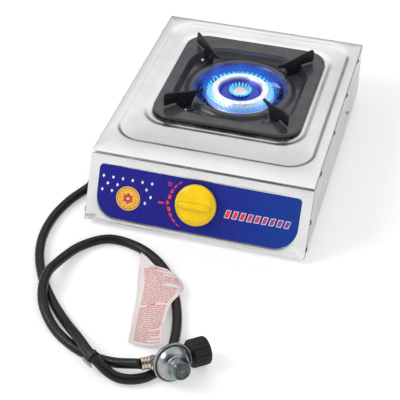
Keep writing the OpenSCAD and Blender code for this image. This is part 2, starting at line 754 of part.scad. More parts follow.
// The tapered plug, bored for the spindle and cross-drilled for the gas
module valve_plug() {
  color(brass) on_front(0, knob_drop, plug_in) difference() {
    cylinder(r1 = plug_tip_r, r2 = plug_r, h = plug_l);
    translate([0, 0, plug_l - 5.5 - push_travel]) cylinder(d = spindle_d + 2 * run_gap, h = 20);
    translate([0, 0, -1]) cylinder(r = 2.5, h = plug_l);
    translate([0, 0, gas_out - plug_in]) rotate([0, -90, 0]) cylinder(r = 1.8, h = 20);
  }
}

knob_base = fascia_out + knob_gap;
hub_out = knob_base + skirt_h + step_h;

// The spindle: its end in the plug, the collar that the spring lifts and the flat for the knob
module valve_spindle() {
  l = hub_out + 4 - spindle_in;
  color("#c4c6c8") on_front(0, knob_drop, spindle_in) difference() {
    union() {
      cylinder(d = spindle_d, h = l);
      translate([0, 0, spring_out - spindle_in]) cylinder(r = plug_r - 1, h = collar_t);
    }
    translate([-spindle_d, spindle_d / 2 - 1.6, l - 12]) cube([2 * spindle_d, spindle_d, 20]);
  }
}

// The return spring, as the tube that its coils fill
module valve_spring() {
  color("#9a9c9e") on_front(0, knob_drop, plug_out + 0.1) difference() {
    cylinder(r = spindle_d / 2 + 2.4, h = spring_l - 0.2);
    translate([0, 0, -1]) cylinder(r = spindle_d / 2 + 0.6, h = spring_l + 2);
  }
}

// Countersunk screws through the fascia and the front into the valve
module valve_screws() {
  color(cast) valve_screw_places() difference() {
    union() {
      translate([0, 0, fascia_out + 0.05]) cylinder(r = screw_d * 0.9, h = 0.9);
      translate([0, 0, body_out - 10]) cylinder(d = screw_d, h = 10 - body_out + fascia_out + 0.5);
    }
    translate([0, 0, fascia_out + 1.1]) cube([screw_d * 2, 0.8, 1], center = true);
  }
}

module injector() {
  color(brass) translate([0, boss_end_y - 8, valve_z]) rotate([-90, 0, 0]) difference() {
    union() {
      cylinder(r = 4, h = 8.2);
      translate([0, 0, 8.1]) cylinder(r = 6.4, h = 6, $fn = 6);
      translate([0, 0, 14]) cylinder(r = 3.5, h = 7);
      translate([0, 0, 21 - cut]) cylinder(r1 = 3.5, r2 = 1.6, h = 2.5);
    }
    translate([0, 0, -1]) cylinder(r = 1.5, h = 20);
    translate([0, 0, 18]) cylinder(r = 0.5, h = 10);
  }
}

// The pipe from the valve to the inlet: across, round the bend and back along the left
pipe_bend = 20;
pipe_end_y = rear_y - 26;
pipe_sides = 16;
pipe_line = concat(
  [[-18.5, valve_y, 180]],
  [for (heading = [180:-10:90])
     [inlet_x + pipe_bend * (1 + cos(heading + 90)), valve_y + pipe_bend * (1 + sin(heading + 90)), heading]],
  [[inlet_x, pipe_end_y, 90]]);
function pipe_ring(i, r) = let (p = pipe_line[i])
  [for (k = [0:pipe_sides - 1]) let (a = k * 360 / pipe_sides)
     [p[0] + r * cos(a) * cos(p[2] + 90), p[1] + r * cos(a) * sin(p[2] + 90), valve_z - r * sin(a)]];

module gas_pipe() {
  n = pipe_sides;
  rings = len(pipe_line);
  last = (rings - 1) * n;
  bore = rings * n;                        // where the points of the inner wall begin
  color("#c4c6c8") polyhedron(
    points = concat([for (i = [0:rings - 1]) each pipe_ring(i, pipe_d / 2)],
                    [for (i = [0:rings - 1]) each pipe_ring(i, pipe_d / 2 - 1)]),
    faces = concat(
      [for (i = [0:rings - 2], k = [0:n - 1]) let (j = (k + 1) % n, a = i * n)
         [a + j, a + n + j, a + n + k, a + k]],
      [for (i = [0:rings - 2], k = [0:n - 1]) let (j = (k + 1) % n, a = bore + i * n)
         [a + k, a + n + k, a + n + j, a + j]],
      [for (k = [0:n - 1]) let (j = (k + 1) % n) [k, bore + k, bore + j, j]],
      [for (k = [0:n - 1]) let (j = (k + 1) % n)
         [last + j, bore + last + j, bore + last + k, last + k]]));
}

// The nut that holds the pipe on the nipple
module pipe_nut() {
  color(brass) translate([inlet_x, pipe_end_y - 13, inlet_z]) rotate([-90, 0, 0]) difference() {
    cylinder(r = 8.5, h = 12, $fn = 6);
    translate([0, 0, -1]) cylinder(d = pipe_d + 2 * run_gap, h = 20);
  }
}

// The threaded nipple through the rear panel, with its hexagon inside the casing
module inlet_nipple() {
  hex_l = 9;
  start = rear_y - 26 - 0.5;
  color(brass) translate([inlet_x, start, inlet_z]) rotate([-90, 0, 0]) difference() {
    union() {
      cylinder(r = 9, h = 10);
      translate([0, 0, 26.5 - sheet_t - hex_l - 0.1]) cylinder(r = 12, h = hex_l, $fn = 6);
      cylinder(d = nipple_d, h = 26.5 + nipple_l);
    }
    translate([0, 0, -1]) cylinder(r = 3, h = 80);
    translate([0, 0, -1]) cylinder(d = pipe_d + 2 * run_gap, h = 2);
  }
}

module inlet_locknut() {
  color(brass) translate([inlet_x, rear_y + 0.1, inlet_z]) rotate([-90, 0, 0]) difference() {
    cylinder(r = 13, h = 4.5, $fn = 6);
    translate([0, 0, -1]) cylinder(d = nipple_d + 2 * run_gap, h = 20);
  }
}

// The knob: a skirt, a step, the grip bar and the hub with its flat
module knob() {
  r = knob_d / 2;
  color("#fdc70c") on_front(0, knob_drop, knob_base) difference() {
    union() {
      rotate_extrude()
        polygon([[0, skirt_h + step_h], [0, skirt_h + step_h - 2.5], [r - 7, skirt_h + step_h - 2.5],
                 [r - 4, skirt_h - 2.5], [r - 2.2, 0], [r, 0], [r, 1.5], [r - 1.2, skirt_h],
                 [r - 3.4, skirt_h + 0.8], [r - 4.6, skirt_h + 1.8], [r - 6.2, skirt_h + step_h]]);
      intersection() {
        translate([0, 0, skirt_h + step_h - 1]) hull() {
          cube([knob_d - 13, grip_t, 0.1], center = true);
          translate([0, 0, grip_h]) cube([knob_d - 20, grip_t - 3, 0.1], center = true);
        }
        translate([0, 0, skirt_h + step_h - 2]) cylinder(r = r - 6.4, h = grip_h + 3);
      }
      translate([0, 0, -3]) cylinder(r = 7.5, h = skirt_h + step_h + 2);
    }
    difference() {
      translate([0, 0, -4]) cylinder(d = spindle_d + 2 * run_gap, h = skirt_h + step_h + 9);
      translate([-spindle_d, spindle_d / 2 - 1.6 + run_gap, -10]) cube([2 * spindle_d, spindle_d, 60]);
    }
    translate([0, 0, -4]) cylinder(d = spindle_d + 2 * run_gap, h = hub_out - knob_base - 8 + 4);
  }
}

// The enamelled pan: a border on a turned-down rim, a well and a raised ring about the hole
module drip_pan() {
  dip = 9;
  rim_low = gutter_z + 0.1;
  color(enamel) translate([0, pan_y, 0]) difference() {
    union() {
      translate([0, 0, rim_low]) linear_extrude(pan_z - rim_low) rounded_rect(pan_w, pan_d, pan_r);
      translate([0, well_y - pan_y, floor_z - pan_t]) linear_extrude(well_drop + pan_t - 0.5)
        rounded_rect(well_w + 2 * pan_t, well_d + 2 * pan_t, well_r + pan_t);
      translate([0, well_y - pan_y, 0]) pan_crest(pan_t);
    }
    difference() {
      translate([0, 0, rim_low - 1]) linear_extrude(pan_z - rim_low + 1 - pan_t)
        rounded_rect(pan_w - 2 * pan_t, pan_d - 2 * pan_t, pan_r - pan_t);
      translate([0, well_y - pan_y, rim_low - 2]) linear_extrude(pan_rim_h + 4)
        rounded_rect(well_w + 2 * pan_t, well_d + 2 * pan_t, well_r + pan_t);
    }
    difference() {
      translate([0, well_y - pan_y, floor_z]) linear_extrude(well_drop + 1)
        rounded_rect(well_w, well_d, well_r);
      translate([0, well_y - pan_y, 0]) pan_crest(0);
    }
    translate([0, well_y - pan_y, 0]) rotate_extrude()
      polygon([[0, floor_z - dip - 5], [hole_r, floor_z - dip - 5], [hole_r, floor_z - dip + 4],
               [hole_r + 2, floor_z], [crest_r - 3, crest_z - 2.2], [crest_r - 3, crest_z + 20],
               [0, crest_z + 20]]);
    translate([0, well_y - pan_y, 0]) rotate_extrude()
      polygon([[hole_r + pan_t, floor_z - dip - 5], [hole_r + pan_t, floor_z - dip + 4],
               [hole_r + 2 + pan_t, floor_z - pan_t], [crest_r - 2, crest_z - 3.4],
               [crest_r + 1, crest_z - 3.4], [crest_r + 6, floor_z - pan_t],
               [crest_r + 6, floor_z - dip - 5]]);
    rivet_places() cylinder(d = rivet_d + 0.2, h = 60, center = true);
  }
}

// The raised ring as a solid of revolution
module pan_crest(extra) {
  rotate_extrude()
    polygon([[hole_r, floor_z - 5], [hole_r, crest_z - 3], [crest_r - 3, crest_z - 0.6],
             [crest_r, crest_z], [crest_r + 3, crest_z - 1], [crest_r + 8 + extra, floor_z],
             [crest_r + 8 + extra, floor_z - pan_t], [crest_r, floor_z - 5]]);
}

// where the rivets go, in the pan's own frame
module rivet_places() {
  for (a = [45:90:315]) translate([0, well_y - pan_y, floor_z]) rotate([0, 0, a])
    translate([rivet_r, rivet_side, 0]) children();
}

// A pot support: an upright blade along the diagonal with a foot turned aside
module pot_support(a) {
  foot_w = 14;
  foot_end = rivet_r + 8;
  seat = floor_z + 0.1;
  top = pan_z + fin_h;
  color(black) translate([0, well_y, 0]) rotate([0, 0, a]) difference() {
    union() {
      rotate([90, 0, 0]) translate([0, 0, -fin_t / 2]) linear_extrude(fin_t)
        polygon([[fin_inner, pan_z + fin_tip_h - 5], [fin_inner + 1, pan_z + fin_tip_h],
                 [fin_inner + 13, pan_z + fin_tip_h + 1], [fin_inner + 26, pan_z + fin_tip_h + 2.4],
                 [fin_inner + 41, top - 5.5], [fin_inner + 55, top - 2.3], [fin_outer - 5, top],
                 [fin_outer - 2, top - 0.7], [fin_outer, top - 4], [fin_outer + 0.5, top - 10],
                 [fin_outer - 1, pan_z + 1.5], [foot_end + 2, pan_z + 1.5],
                 [foot_end, seat], [crest_r + 12, seat],
                 [crest_r + 9, crest_z + 3], [fin_inner + 12, pan_z + fin_tip_h - 7]]);
      translate([crest_r + 12, 0, seat]) cube([foot_end - crest_r - 12, foot_w, 2]);
    }
    translate([rivet_r, rivet_side, seat]) cylinder(d = rivet_d + 0.2, h = 10, center = true);
  }
}

module pot_support_back_right() { pot_support(45); }
module pot_support_back_left() { pot_support(135); }
module pot_support_front_left() { pot_support(225); }
module pot_support_front_right() { pot_support(315); }

module support_rivets() {
  color(cast) translate([0, pan_y, 0]) rivet_places() {
    translate([0, 0, 2.2]) rotate_extrude()
      polygon([[0, 0], [rivet_d * 0.9, 0], [rivet_d * 0.75, 1.1], [rivet_d * 0.35, 1.8], [0, 2]]);
    translate([0, 0, -pan_t - 1]) cylinder(d = rivet_d, h = pan_t + 3.4);
    translate([0, 0, -pan_t - 1.2]) cylinder(d = rivet_d * 1.6, h = 1.1);
  }
}

// A smooth curve through every point of the route
function route_point(i) =
  i < 0 ? 2 * hose_route[0] - hose_route[1] :
  i >= len(hose_route) ? outlet_point(outlet_run + 30) : hose_route[i];
function spline(i, t) = let (
    p = route_point(i - 1), q = route_point(i), r = route_point(i + 1), s = route_point(i + 2))
  0.5 * (2 * q + t * (r - p) + t * t * (2 * p - 5 * q + 4 * r - s)
         + t * t * t * (3 * q - p - 3 * r + s));
function on_floor(p) = [p[0], p[1], max(p[2], hose_d / 2)];
hose_line = concat([for (i = [0:len(hose_route) - 2], k = [0:rings_per_span - 1])
                      on_floor(spline(i, k / rings_per_span))], [hose_route[len(hose_route) - 1]]);

// The eight-sided ring of the tube at place i of the line
function ring_at(i) = let (
    last = len(hose_line) - 1,
    along = i == 0 ? [0, 1, 0] : i == last ? outlet_point(0) - outlet_point(outlet_run)
            : hose_line[i + 1] - hose_line[i - 1],
    side = cross(along, [0, 0, 1]) / norm(cross(along, [0, 0, 1])),
    up = cross(side, along) / norm(along))
  [for (k = [0:hose_sides - 1]) let (a = (k + 0.5) * 360 / hose_sides)
     hose_line[i] + hose_d / 2 * (cos(a) * side + sin(a) * up)];

module hose() {
  count = len(hose_line);
  n = hose_sides;
  color(black) polyhedron(
    points = [for (i = [0:count - 1]) each ring_at(i)],
    faces = concat(
      [[for (k = [0:n - 1]) k]],
      [for (i = [0:count - 2], k = [0:n - 1])
         [i * n + k, (i + 1) * n + k, (i + 1) * n + (k + 1) % n, i * n + (k + 1) % n]],
      [[for (k = [0:n - 1]) count * n - 1 - k]]));
}

// The union nut of the hose, over the rear nipple
module hose_nut() {
  reach = nipple_l - 5 + 0.3;
  color(brass) translate([inlet_x, rear_y + 5, inlet_z]) rotate([-90, 0, 0]) difference() {
    cylinder(r = nut_af / 2 / cos(30), h = hose_nut_l, $fn = 6);
    translate([0, 0, -1]) cylinder(d = nipple_d + 2 * run_gap, h = reach + 1);
    cylinder(r = 4, h = 3 * hose_nut_l);
  }
}

// A crimped sleeve that ends a hose, from z = 0 to l
module ferrule(l) {
  difference() {
    rotate_extrude()
      polygon([[0, 0], [ferrule_d / 2 - 1, 0], [ferrule_d / 2, 1], [ferrule_d / 2, 0.3 * l],
               [ferrule_d / 2 - 0.7, 0.36 * l], [ferrule_d / 2 - 0.7, 0.44 * l],
               [ferrule_d / 2, 0.5 * l], [ferrule_d / 2, 0.62 * l],
               [ferrule_d / 2 - 0.7, 0.68 * l], [ferrule_d / 2 - 0.7, 0.76 * l],
               [ferrule_d / 2, 0.82 * l], [ferrule_d / 2, l - 0.1], [0, l - 0.1]]);
    translate([0, 0, -1]) cylinder(r = 3.5, h = l + 2);
  }
}

module inlet_ferrule() {
  color("#b9a58c") translate([inlet_x, rear_y + 5 + hose_nut_l, inlet_z]) rotate([-90, 0, 0])
    translate([0, 0, 0.1]) ferrule(ferrule_l - 0.1);
}

module on_regulator() {
  translate(reg_at + front_move) rotate([0, 0, reg_yaw]) rotate([90 - reg_lean, 0, 0])
    rotate([0, 0, -reg_droop]) children();
}

// along the outlet, from the middle of the regulator's body
module on_outlet(l) {
  on_regulator() translate([0, 0, port_z]) rotate([0, -90 - outlet_turn, 0])
    translate([0, 0, l]) children();
}

module outlet_ferrule() {
  color("#b9a58c") on_outlet(outlet_run - outlet_ferrule_l + 0.1) ferrule(outlet_ferrule_l - 0.1);
}

module outlet_nut() {
  color(cast) on_outlet(outlet_l + 0.1) difference() {
    cylinder(r = 9.8, h = outlet_nut_l - 0.1, $fn = 6);
    translate([0, 0, -1]) cylinder(r = 3.5, h = 20);
  }
}

// The regulator's cast body: a flange under the diaphragm and a boss for each port
module regulator_body() {
  flange_r = reg_r - 1.4;
  color("#b4b7b9") difference() {
    union() {
      on_regulator() rotate_extrude()
        polygon([[0, -17], [13, -17], [14.5, -15.6], [17, -6.4], [21, -3.8], [flange_r, -3.8],
                 [flange_r, -2.75], [18, -2.75], [15, -5.5], [0, -5.5]]);
      on_regulator() translate([0, 0, port_z]) rotate([0, 90, 0]) cylinder(r = port_r, h = 21);
      on_outlet(0) cylinder(r = port_r, h = outlet_l);
    }
    on_regulator() translate([0, 0, port_z]) rotate([0, 90, 0]) cylinder(r = 2.5, h = 40);
    on_regulator() translate([nose_x - 0.1, 0, port_z]) rotate([0, 90, 0])
      cylinder(r = nose_r + run_gap, h = 40);
    on_outlet(4) cylinder(r = 3.5, h = 40);
    on_regulator() translate([0, 0, port_z]) cylinder(r = 2, h = 30);
    on_regulator() translate([0, 0, -5.5]) cylinder(r = 15, h = 4);
  }
}

// The bonnet: a rim rolled over the flange, a dome and a stepped boss for the spring
module regulator_bonnet() {
  color("#c6c9cb") on_regulator() rotate_extrude()
    polygon([[reg_r - 3, -rim_t], [reg_r, -rim_t], [reg_r, -0.8], [reg_r - 0.6, 0], [reg_r - 1.8, 0],
             [reg_r - 2.1, -0.8], [reg_r - 3.1, -0.8], [reg_r - 3.4, 0.6], [reg_r - 4, 3],
             [reg_r - 5.6, 6.5], [reg_r - 7.8, 9.8], [reg_r - 10, 12.2], [16.4, 13.2], [16.2, 15.2],
             [15.2, 15.8], [13.6, 22.5], [12.6, 26.4], [11, 26.4], [11, 19], [9.6, 17],
             [14.5, 11.3], [reg_r - 9.5, 8], [reg_r - 6.8, 3.5], [reg_r - 6, -2],
             [reg_r - 1.2, -2], [reg_r - 1.2, -3.9], [reg_r - 3, -3.9]]);
}

// The diaphragm with one convolution and its middle plate
module regulator_diaphragm() {
  color(black) on_regulator() rotate_extrude()
    polygon([[0, -2.7], [13, -2.7], [15, -1.6], [17, -2.7], [reg_r - 1.4, -2.7],
             [reg_r - 1.4, -2.1], [17.3, -2.1], [15, -0.9], [12.7, -2.1], [10, -2.1], [10, -1.2],
             [0, -1.2]]);
}

// The spring between the diaphragm and the cap, as the tube that its coils fill
module regulator_spring() {
  color("#9a9c9e") on_regulator() difference() {
    translate([0, 0, -1.1]) cylinder(r = 8.6, h = 20);
    translate([0, 0, -2]) cylinder(r = 7.2, h = 30);
  }
}

module regulator_cap() {
  color("#55595c") on_regulator() rotate_extrude()
    polygon([[0, 19.1], [10.9, 19.1], [10.9, 26.6], [12, 26.6], [12, 27.8], [11.4, 28.4],
             [9.8, 28.4], [9.4, 28], [0, 28]]);
}

// The brass nose that the coupling wheel turns on, with its flange inside the wheel
module inlet_nose() {
  color(brass) on_regulator() translate([0, 0, port_z]) rotate([0, 90, 0]) rotate_extrude()
    polygon([[2.2, nose_x], [nose_r, nose_x], [nose_r, wheel_x + 3.3], [9, wheel_x + 3.3],
             [9, wheel_x + 6.5], [6.6, wheel_x + 7.5], [6.6, wheel_end - 4], [5, wheel_end],
             [4, wheel_end + 4], [2.2, wheel_end + 4]]);
}

module nose_seal() {
  color("#2d5b3c") on_regulator() translate([wheel_x + 10, 0, port_z]) rotate([0, 90, 0])
    difference() {
      cylinder(r = 8.2, h = wheel_l - 16);
      translate([0, 0, -1]) cylinder(r = 6.62, h = wheel_l);
    }
}

module coupling_wheel() {
  rib_h = 1.2;
  core_r = wheel_d / 2 - rib_h;
  color(black) on_regulator() translate([wheel_x, 0, port_z]) rotate([0, 90, 0]) difference() {
    linear_extrude(wheel_l) {
      circle(core_r);
      for (i = [0:wheel_ribs - 1]) rotate(i * 360 / wheel_ribs)
        translate([0, -2]) square([wheel_d / 2, 4]);
    }
    translate([0, 0, -1]) cylinder(r = nose_r + 0.1, h = 10);
    translate([0, 0, 3]) cylinder(d = thread_d, h = wheel_l);
  }
}

// The printed tag: flat on the floor, then up and over the hose that passes under it
module warning_tag() {
  ridge = hose_d + 0.1;
  along = [-25, -307] - [24, -398];
  color("#f3e3e1") translate(front_move) intersection() {
    linear_extrude(2 * ridge)
      polygon([[-62, -290], [-57, -314], [-45, -362], [-34, -421], [-25, -466], [23, -462],
               [15, -435], [12, -400], [12, -382], [17, -368], [19, -347], [14, -336], [2, -327],
               [-14, -319], [-32, -317], [-50, -301]]);
    translate([-25, -307, 0]) rotate([0, 0, atan2(along[1], along[0])]) rotate([90, 0, 90])
      linear_extrude(400, center = true)
        polygon([[-20, ridge - 2], [-12, ridge], [10, ridge], [30, 0.1], [90, 0.1], [90, 0.1 + tag_t],
                 [30.4, 0.1 + tag_t], [10.4, ridge + tag_t], [-12, ridge + tag_t],
                 [-20, ridge + tag_t - 2]]);
  }
}

// A metal tie round the hose with its twisted ends standing out below
module hose_clip() {
  turn = -33;
  dip = 7;
  color("#9b9d9a") translate(front_move + [-57, -518, 22]) rotate([0, 0, turn]) {
    rotate([0, 90 + dip, 0]) difference() {
      cylinder(r = hose_d / 2 + 1.8, h = 7, center = true);
      cylinder(r = hose_d / 2 + 0.9, h = 20, center = true);
    }
    translate([-9, -hose_d / 2 - 2.6, -9]) cube([18, 1.2, 7]);
    translate([-4, -hose_d / 2 - 2.6, -6]) cube([8, 2.6, 5]);
  }
}

top_panel();
side_panel_left();
side_panel_right();
rear_panel();
fascia_plate();
base_rail_front();
base_rail_rear();
foot_front_left();
foot_front_right();
foot_rear_left();
foot_rear_right();
casing_screws();
burner_bar();
burner_body();
mixing_tube();
air_shutter();
burner_ring();
burner_cap();
burner_screws();
valve_body();
valve_cover();
valve_plug();
valve_spindle();
valve_spring();
valve_screws();
injector();
gas_pipe();
pipe_nut();
inlet_nipple();
inlet_locknut();
knob();
drip_pan();
pot_support_back_left();
pot_support_back_right();
pot_support_front_left();
pot_support_front_right();
support_rivets();
hose();
hose_nut();
inlet_ferrule();
outlet_ferrule();
outlet_nut();
regulator_body();
regulator_bonnet();
regulator_diaphragm();
regulator_spring();
regulator_cap();
inlet_nose();
nose_seal();
coupling_wheel();
warning_tag();
hose_clip();
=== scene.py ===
import math
import random

import bmesh
import bpy
from mathutils import Matrix, Vector


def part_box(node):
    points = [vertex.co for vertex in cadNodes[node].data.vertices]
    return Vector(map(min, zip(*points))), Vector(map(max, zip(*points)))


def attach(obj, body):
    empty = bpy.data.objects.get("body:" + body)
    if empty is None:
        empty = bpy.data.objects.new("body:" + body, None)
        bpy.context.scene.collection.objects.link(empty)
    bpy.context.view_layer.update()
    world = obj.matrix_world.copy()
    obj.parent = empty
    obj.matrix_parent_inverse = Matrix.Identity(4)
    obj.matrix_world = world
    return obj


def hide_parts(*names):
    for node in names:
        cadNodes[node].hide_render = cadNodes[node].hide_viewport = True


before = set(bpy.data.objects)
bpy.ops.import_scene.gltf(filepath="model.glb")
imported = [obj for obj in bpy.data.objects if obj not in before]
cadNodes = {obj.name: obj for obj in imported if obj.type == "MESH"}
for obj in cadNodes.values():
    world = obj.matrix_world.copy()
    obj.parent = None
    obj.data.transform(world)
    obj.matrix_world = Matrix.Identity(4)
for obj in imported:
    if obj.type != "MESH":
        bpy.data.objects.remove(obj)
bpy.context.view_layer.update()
mm = 0.001
scene = bpy.context.scene
scene.view_settings.view_transform = "Standard"
print("frame loaded:", len(cadNodes), "nodes")

# the camera stands before the stove, a little to its right, and looks down at it
viewpoint = {"place": (0.360138, -1.551434, 1.168955), "ahead": (-0.200717, 0.756021, -0.623013),
             "up": (-0.177003, 0.597501, 0.782088), "lens": 107.975, "sensor": 36.0}


def makeCamera():
    data = bpy.data.cameras.new("camera")
    data.lens = viewpoint["lens"]
    data.sensor_width = viewpoint["sensor"]
    ahead = Vector(viewpoint["ahead"]).normalized()
    right = ahead.cross(Vector(viewpoint["up"])).normalized()
    turn = Matrix((right, right.cross(ahead), -ahead)).transposed().to_4x4()
    camera = bpy.data.objects.new("camera", data)
    camera.matrix_world = Matrix.Translation(viewpoint["place"]) @ turn
    scene.collection.objects.link(camera)
    scene.camera = camera


makeCamera()
print("camera placed")


# moves by millimetres and turns by degrees
def shift(x, y, z):
    return Matrix.Translation(Vector((x, y, z)) * mm)


def spin(degrees, axis):
    return Matrix.Rotation(math.radians(degrees), 4, axis)


# the angles of places evenly round a circle, set on by a part of one space
def around(count, on=0.0):
    return [2 * math.pi * (k + on) / count for k in range(count)]


# the angles along an arc, both ends among them
def arcSteps(angle, steps):
    return [angle * k / steps for k in range(steps + 1)]


def polar(radius, angle, z=0.0):
    return Vector((radius * math.cos(angle), radius * math.sin(angle), z))


# sizes shared by the pieces, in millimetres, with those of the frame where it holds them
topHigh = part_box("top_panel")[1] / mm
stove = {"width": 340.0, "topDepth": 418.0, "rake": 48.0, "fold": 7.0, "sheet": 1.0,
         "topZ": topHigh.z, "baseZ": 8.0, "rearY": topHigh.y, "wellY": 48.0}
stove["frontY"] = stove["rearY"] - stove["topDepth"]
faceAngle = math.atan2(stove["topZ"] - stove["baseZ"], stove["rake"])
slopeLength = math.hypot(stove["topZ"] - stove["baseZ"], stove["rake"])
faceFrame = shift(0, stove["frontY"], stove["topZ"]) @ Matrix.Rotation(faceAngle, 4, "X")


# a place on the sloping front: x across, v down the slope, out along its normal
def onFace(x, v, out):
    return faceFrame @ shift(x, -v, out)


# the regulator's own frame: Z is the axis of its dome, X points to its inlet
regulator = {"at": (50.2, -505.2), "rimRadius": 27.5, "rimDepth": 4.5, "lift": 0.1, "yaw": 43, "lean": 18,
             "droop": 5, "portZ": -10.7, "outletTurn": 14, "outletRun": 38.2}


def regulatorFrame():
    lean = math.radians(regulator["lean"])
    z = regulator["rimRadius"] * math.cos(lean) + regulator["rimDepth"] * math.sin(lean) + regulator["lift"]
    return (shift(*regulator["at"], z) @ spin(regulator["yaw"], "Z")
            @ spin(90 - regulator["lean"], "X") @ spin(-regulator["droop"], "Z"))


onRegulator = regulatorFrame()
onInlet = onRegulator @ shift(0, 0, regulator["portZ"]) @ spin(90, "Y")
onOutlet = onRegulator @ shift(0, 0, regulator["portZ"]) @ spin(-90 - regulator["outletTurn"], "Y")


# shader helpers: each adds to a node tree, and all but the first hand on outputs
def addNode(tree, kind, values=(), **settings):
    node = tree.nodes.new("ShaderNode" + kind)
    for key, value in settings.items():
        setattr(node, key, value)
    for socket, value in dict(values).items():
        if isinstance(value, bpy.types.NodeSocket):
            tree.links.new(value, node.inputs[socket])
        else:
            node.inputs[socket].default_value = value
    return node


def calc(tree, operation, a, b=0.0, c=0.0):
    return addNode(tree, "Math", {0: a, 1: b, 2: c}, operation=operation).outputs[0]


def vectorMath(tree, operation, a, b=(0, 0, 0)):
    return addNode(tree, "VectorMath", {0: a, 1: b}, operation=operation).outputs


def remap(tree, value, low=0.0, high=1.0, toLow=0.0, toHigh=1.0, smooth=False):
    return addNode(tree, "MapRange", {"Value": value, "From Min": low, "From Max": high, "To Min": toLow,
                                      "To Max": toHigh},
                   interpolation_type="SMOOTHSTEP" if smooth else "LINEAR").outputs[0]


def mixValue(tree, factor, a, b):
    return addNode(tree, "Mix", {"Factor": factor, "A": a, "B": b}).outputs[0]


# mixes two colours; each of the three may be a socket or a plain value
def mixColour(tree, factor, a, b, mode="MIX"):
    a, b = (c if isinstance(c, bpy.types.NodeSocket) else (*c, 1) for c in (a, b))
    return addNode(tree, "Mix", data_type="RGBA", blend_type=mode, values={0: factor, 6: a, 7: b}).outputs[2]


def objectPlace(tree):
    return addNode(tree, "TexCoord").outputs["Object"]


def objectAxis(tree, axis):
    return addNode(tree, "SeparateXYZ", {0: objectPlace(tree)}).outputs[axis]


def noise(tree, spot, scale, detail, roughness=0.5):
    return addNode(tree, "TexNoise", {"Vector": spot, "Scale": scale, "Detail": detail,
                                      "Roughness": roughness}).outputs["Fac"]


# the shared effects, each a node group made once
def newGroup(name, inputs, effect):
    tree = bpy.data.node_groups.new(name, "ShaderNodeTree")
    for label, value in inputs.items():
        kind = "NodeSocketVector" if isinstance(value, tuple) else "NodeSocketFloat"
        tree.interface.new_socket(label, in_out="INPUT", socket_type=kind).default_value = value
    made = effect(tree, tree.nodes.new("NodeGroupInput").outputs)
    for label in made:
        tree.interface.new_socket(label, in_out="OUTPUT", socket_type="NodeSocketFloat")
    wanted = tree.nodes.new("NodeGroupOutput").inputs
    for label, socket in made.items():
        tree.links.new(socket, wanted[label])
    return tree


# fine parallel scratches of rolled or brushed metal, long where Stretch is small
def brushedEffect(tree, given):
    mapped = addNode(tree, "Mapping", {"Vector": objectPlace(tree), "Scale": given["Stretch"]}).outputs[0]
    fine = noise(tree, mapped, given["Scale"], detail=3.0, roughness=0.65)
    return {"Streak": remap(tree, fine, 0.3, 0.7), "Height": fine}


# slow, cloudy change between two values
def cloudEffect(tree, given):
    slow = noise(tree, objectPlace(tree), given["Scale"], detail=4.0, roughness=0.55)
    return {"Value": remap(tree, slow, 0.33, 0.67, given["Low"], given["High"])}


# small pits and bumps of cast, moulded or enamelled surfaces
def pebbleEffect(tree, given):
    spot = objectPlace(tree)
    grain = noise(tree, spot, given["Scale"], detail=2.0)
    cells = addNode(tree, "TexVoronoi", {"Vector": spot, "Scale": given["Scale"]}).outputs["Distance"]
    return {"Height": mixValue(tree, given["Mix"], grain, cells), "Speck": remap(tree, grain, 0.62, 0.72)}


# bright or bare edges, broken up by noise
def edgeWearEffect(tree, given):
    bend = addNode(tree, "NewGeometry").outputs["Pointiness"]
    edge = remap(tree, bend, given["Start"], given["End"])
    broken = remap(tree, noise(tree, objectPlace(tree), given["Breakup"], detail=3.0), 0.4, 0.6)
    return {"Mask": calc(tree, "MULTIPLY", edge, broken)}


# a little dust that lies where a surface looks up
def dustEffect(tree, given):
    facing = addNode(tree, "NewGeometry").outputs["Normal"]
    up = remap(tree, addNode(tree, "SeparateXYZ", {0: facing}).outputs["Z"], 0.3, 1.0)
    fluff = noise(tree, objectPlace(tree), given["Scale"], detail=6.0, roughness=0.7)
    lint = remap(tree, fluff, 0.4, 0.75)
    return {"Mask": calc(tree, "MULTIPLY", calc(tree, "MULTIPLY", up, lint), given["Amount"])}


# how far a point is from the burner's axis, and how high, in metres
def axisEffect(tree, given):
    level = vectorMath(tree, "SUBTRACT", objectPlace(tree), (0, stove["wellY"] * mm, 0))[0]
    flat = vectorMath(tree, "MULTIPLY", level, (1, 1, 0))[0]
    return {"Away": vectorMath(tree, "LENGTH", flat)["Value"], "Up": objectAxis(tree, "Z")}


brushed = newGroup("brushed", {"Stretch": (8, 900, 900), "Scale": 1.0}, brushedEffect)
cloud = newGroup("cloud", {"Scale": 12.0, "Low": 0.0, "High": 1.0}, cloudEffect)
pebble = newGroup("pebble", {"Scale": 900.0, "Mix": 0.5}, pebbleEffect)
edgeWear = newGroup("edgeWear", {"Start": 0.53, "End": 0.6, "Breakup": 250.0}, edgeWearEffect)
dust = newGroup("dust", {"Amount": 0.2, "Scale": 60.0}, dustEffect)
axis = newGroup("axis", {}, axisEffect)


# places a group in a material with its own values, and hands on its outputs
def place(tree, group, **values):
    node = addNode(tree, "Group", node_tree=group)
    for key, value in values.items():
        node.inputs[key].default_value = value
    return node.outputs


def cloudy(tree, scale, low=0.0, high=1.0):
    return place(tree, cloud, Scale=scale, Low=low, High=high)[0]


shaderSockets = {"metallic": "Metallic", "rough": "Roughness", "gloss": "Specular IOR Level",
                 "coat": "Coat Weight", "coatRough": "Coat Roughness", "glow": "Emission Strength"}


# a new material with its plain values set on the shader's own sockets
def newMaterial(name, base, **plain):
    material = bpy.data.materials.new(name)
    material.use_nodes = True
    shader = material.node_tree.nodes["Principled BSDF"]
    shader.inputs["Base Color"].default_value = (*base, 1)
    for key, value in plain.items():
        shader.inputs[shaderSockets[key]].default_value = value
    return material, material.node_tree, shader


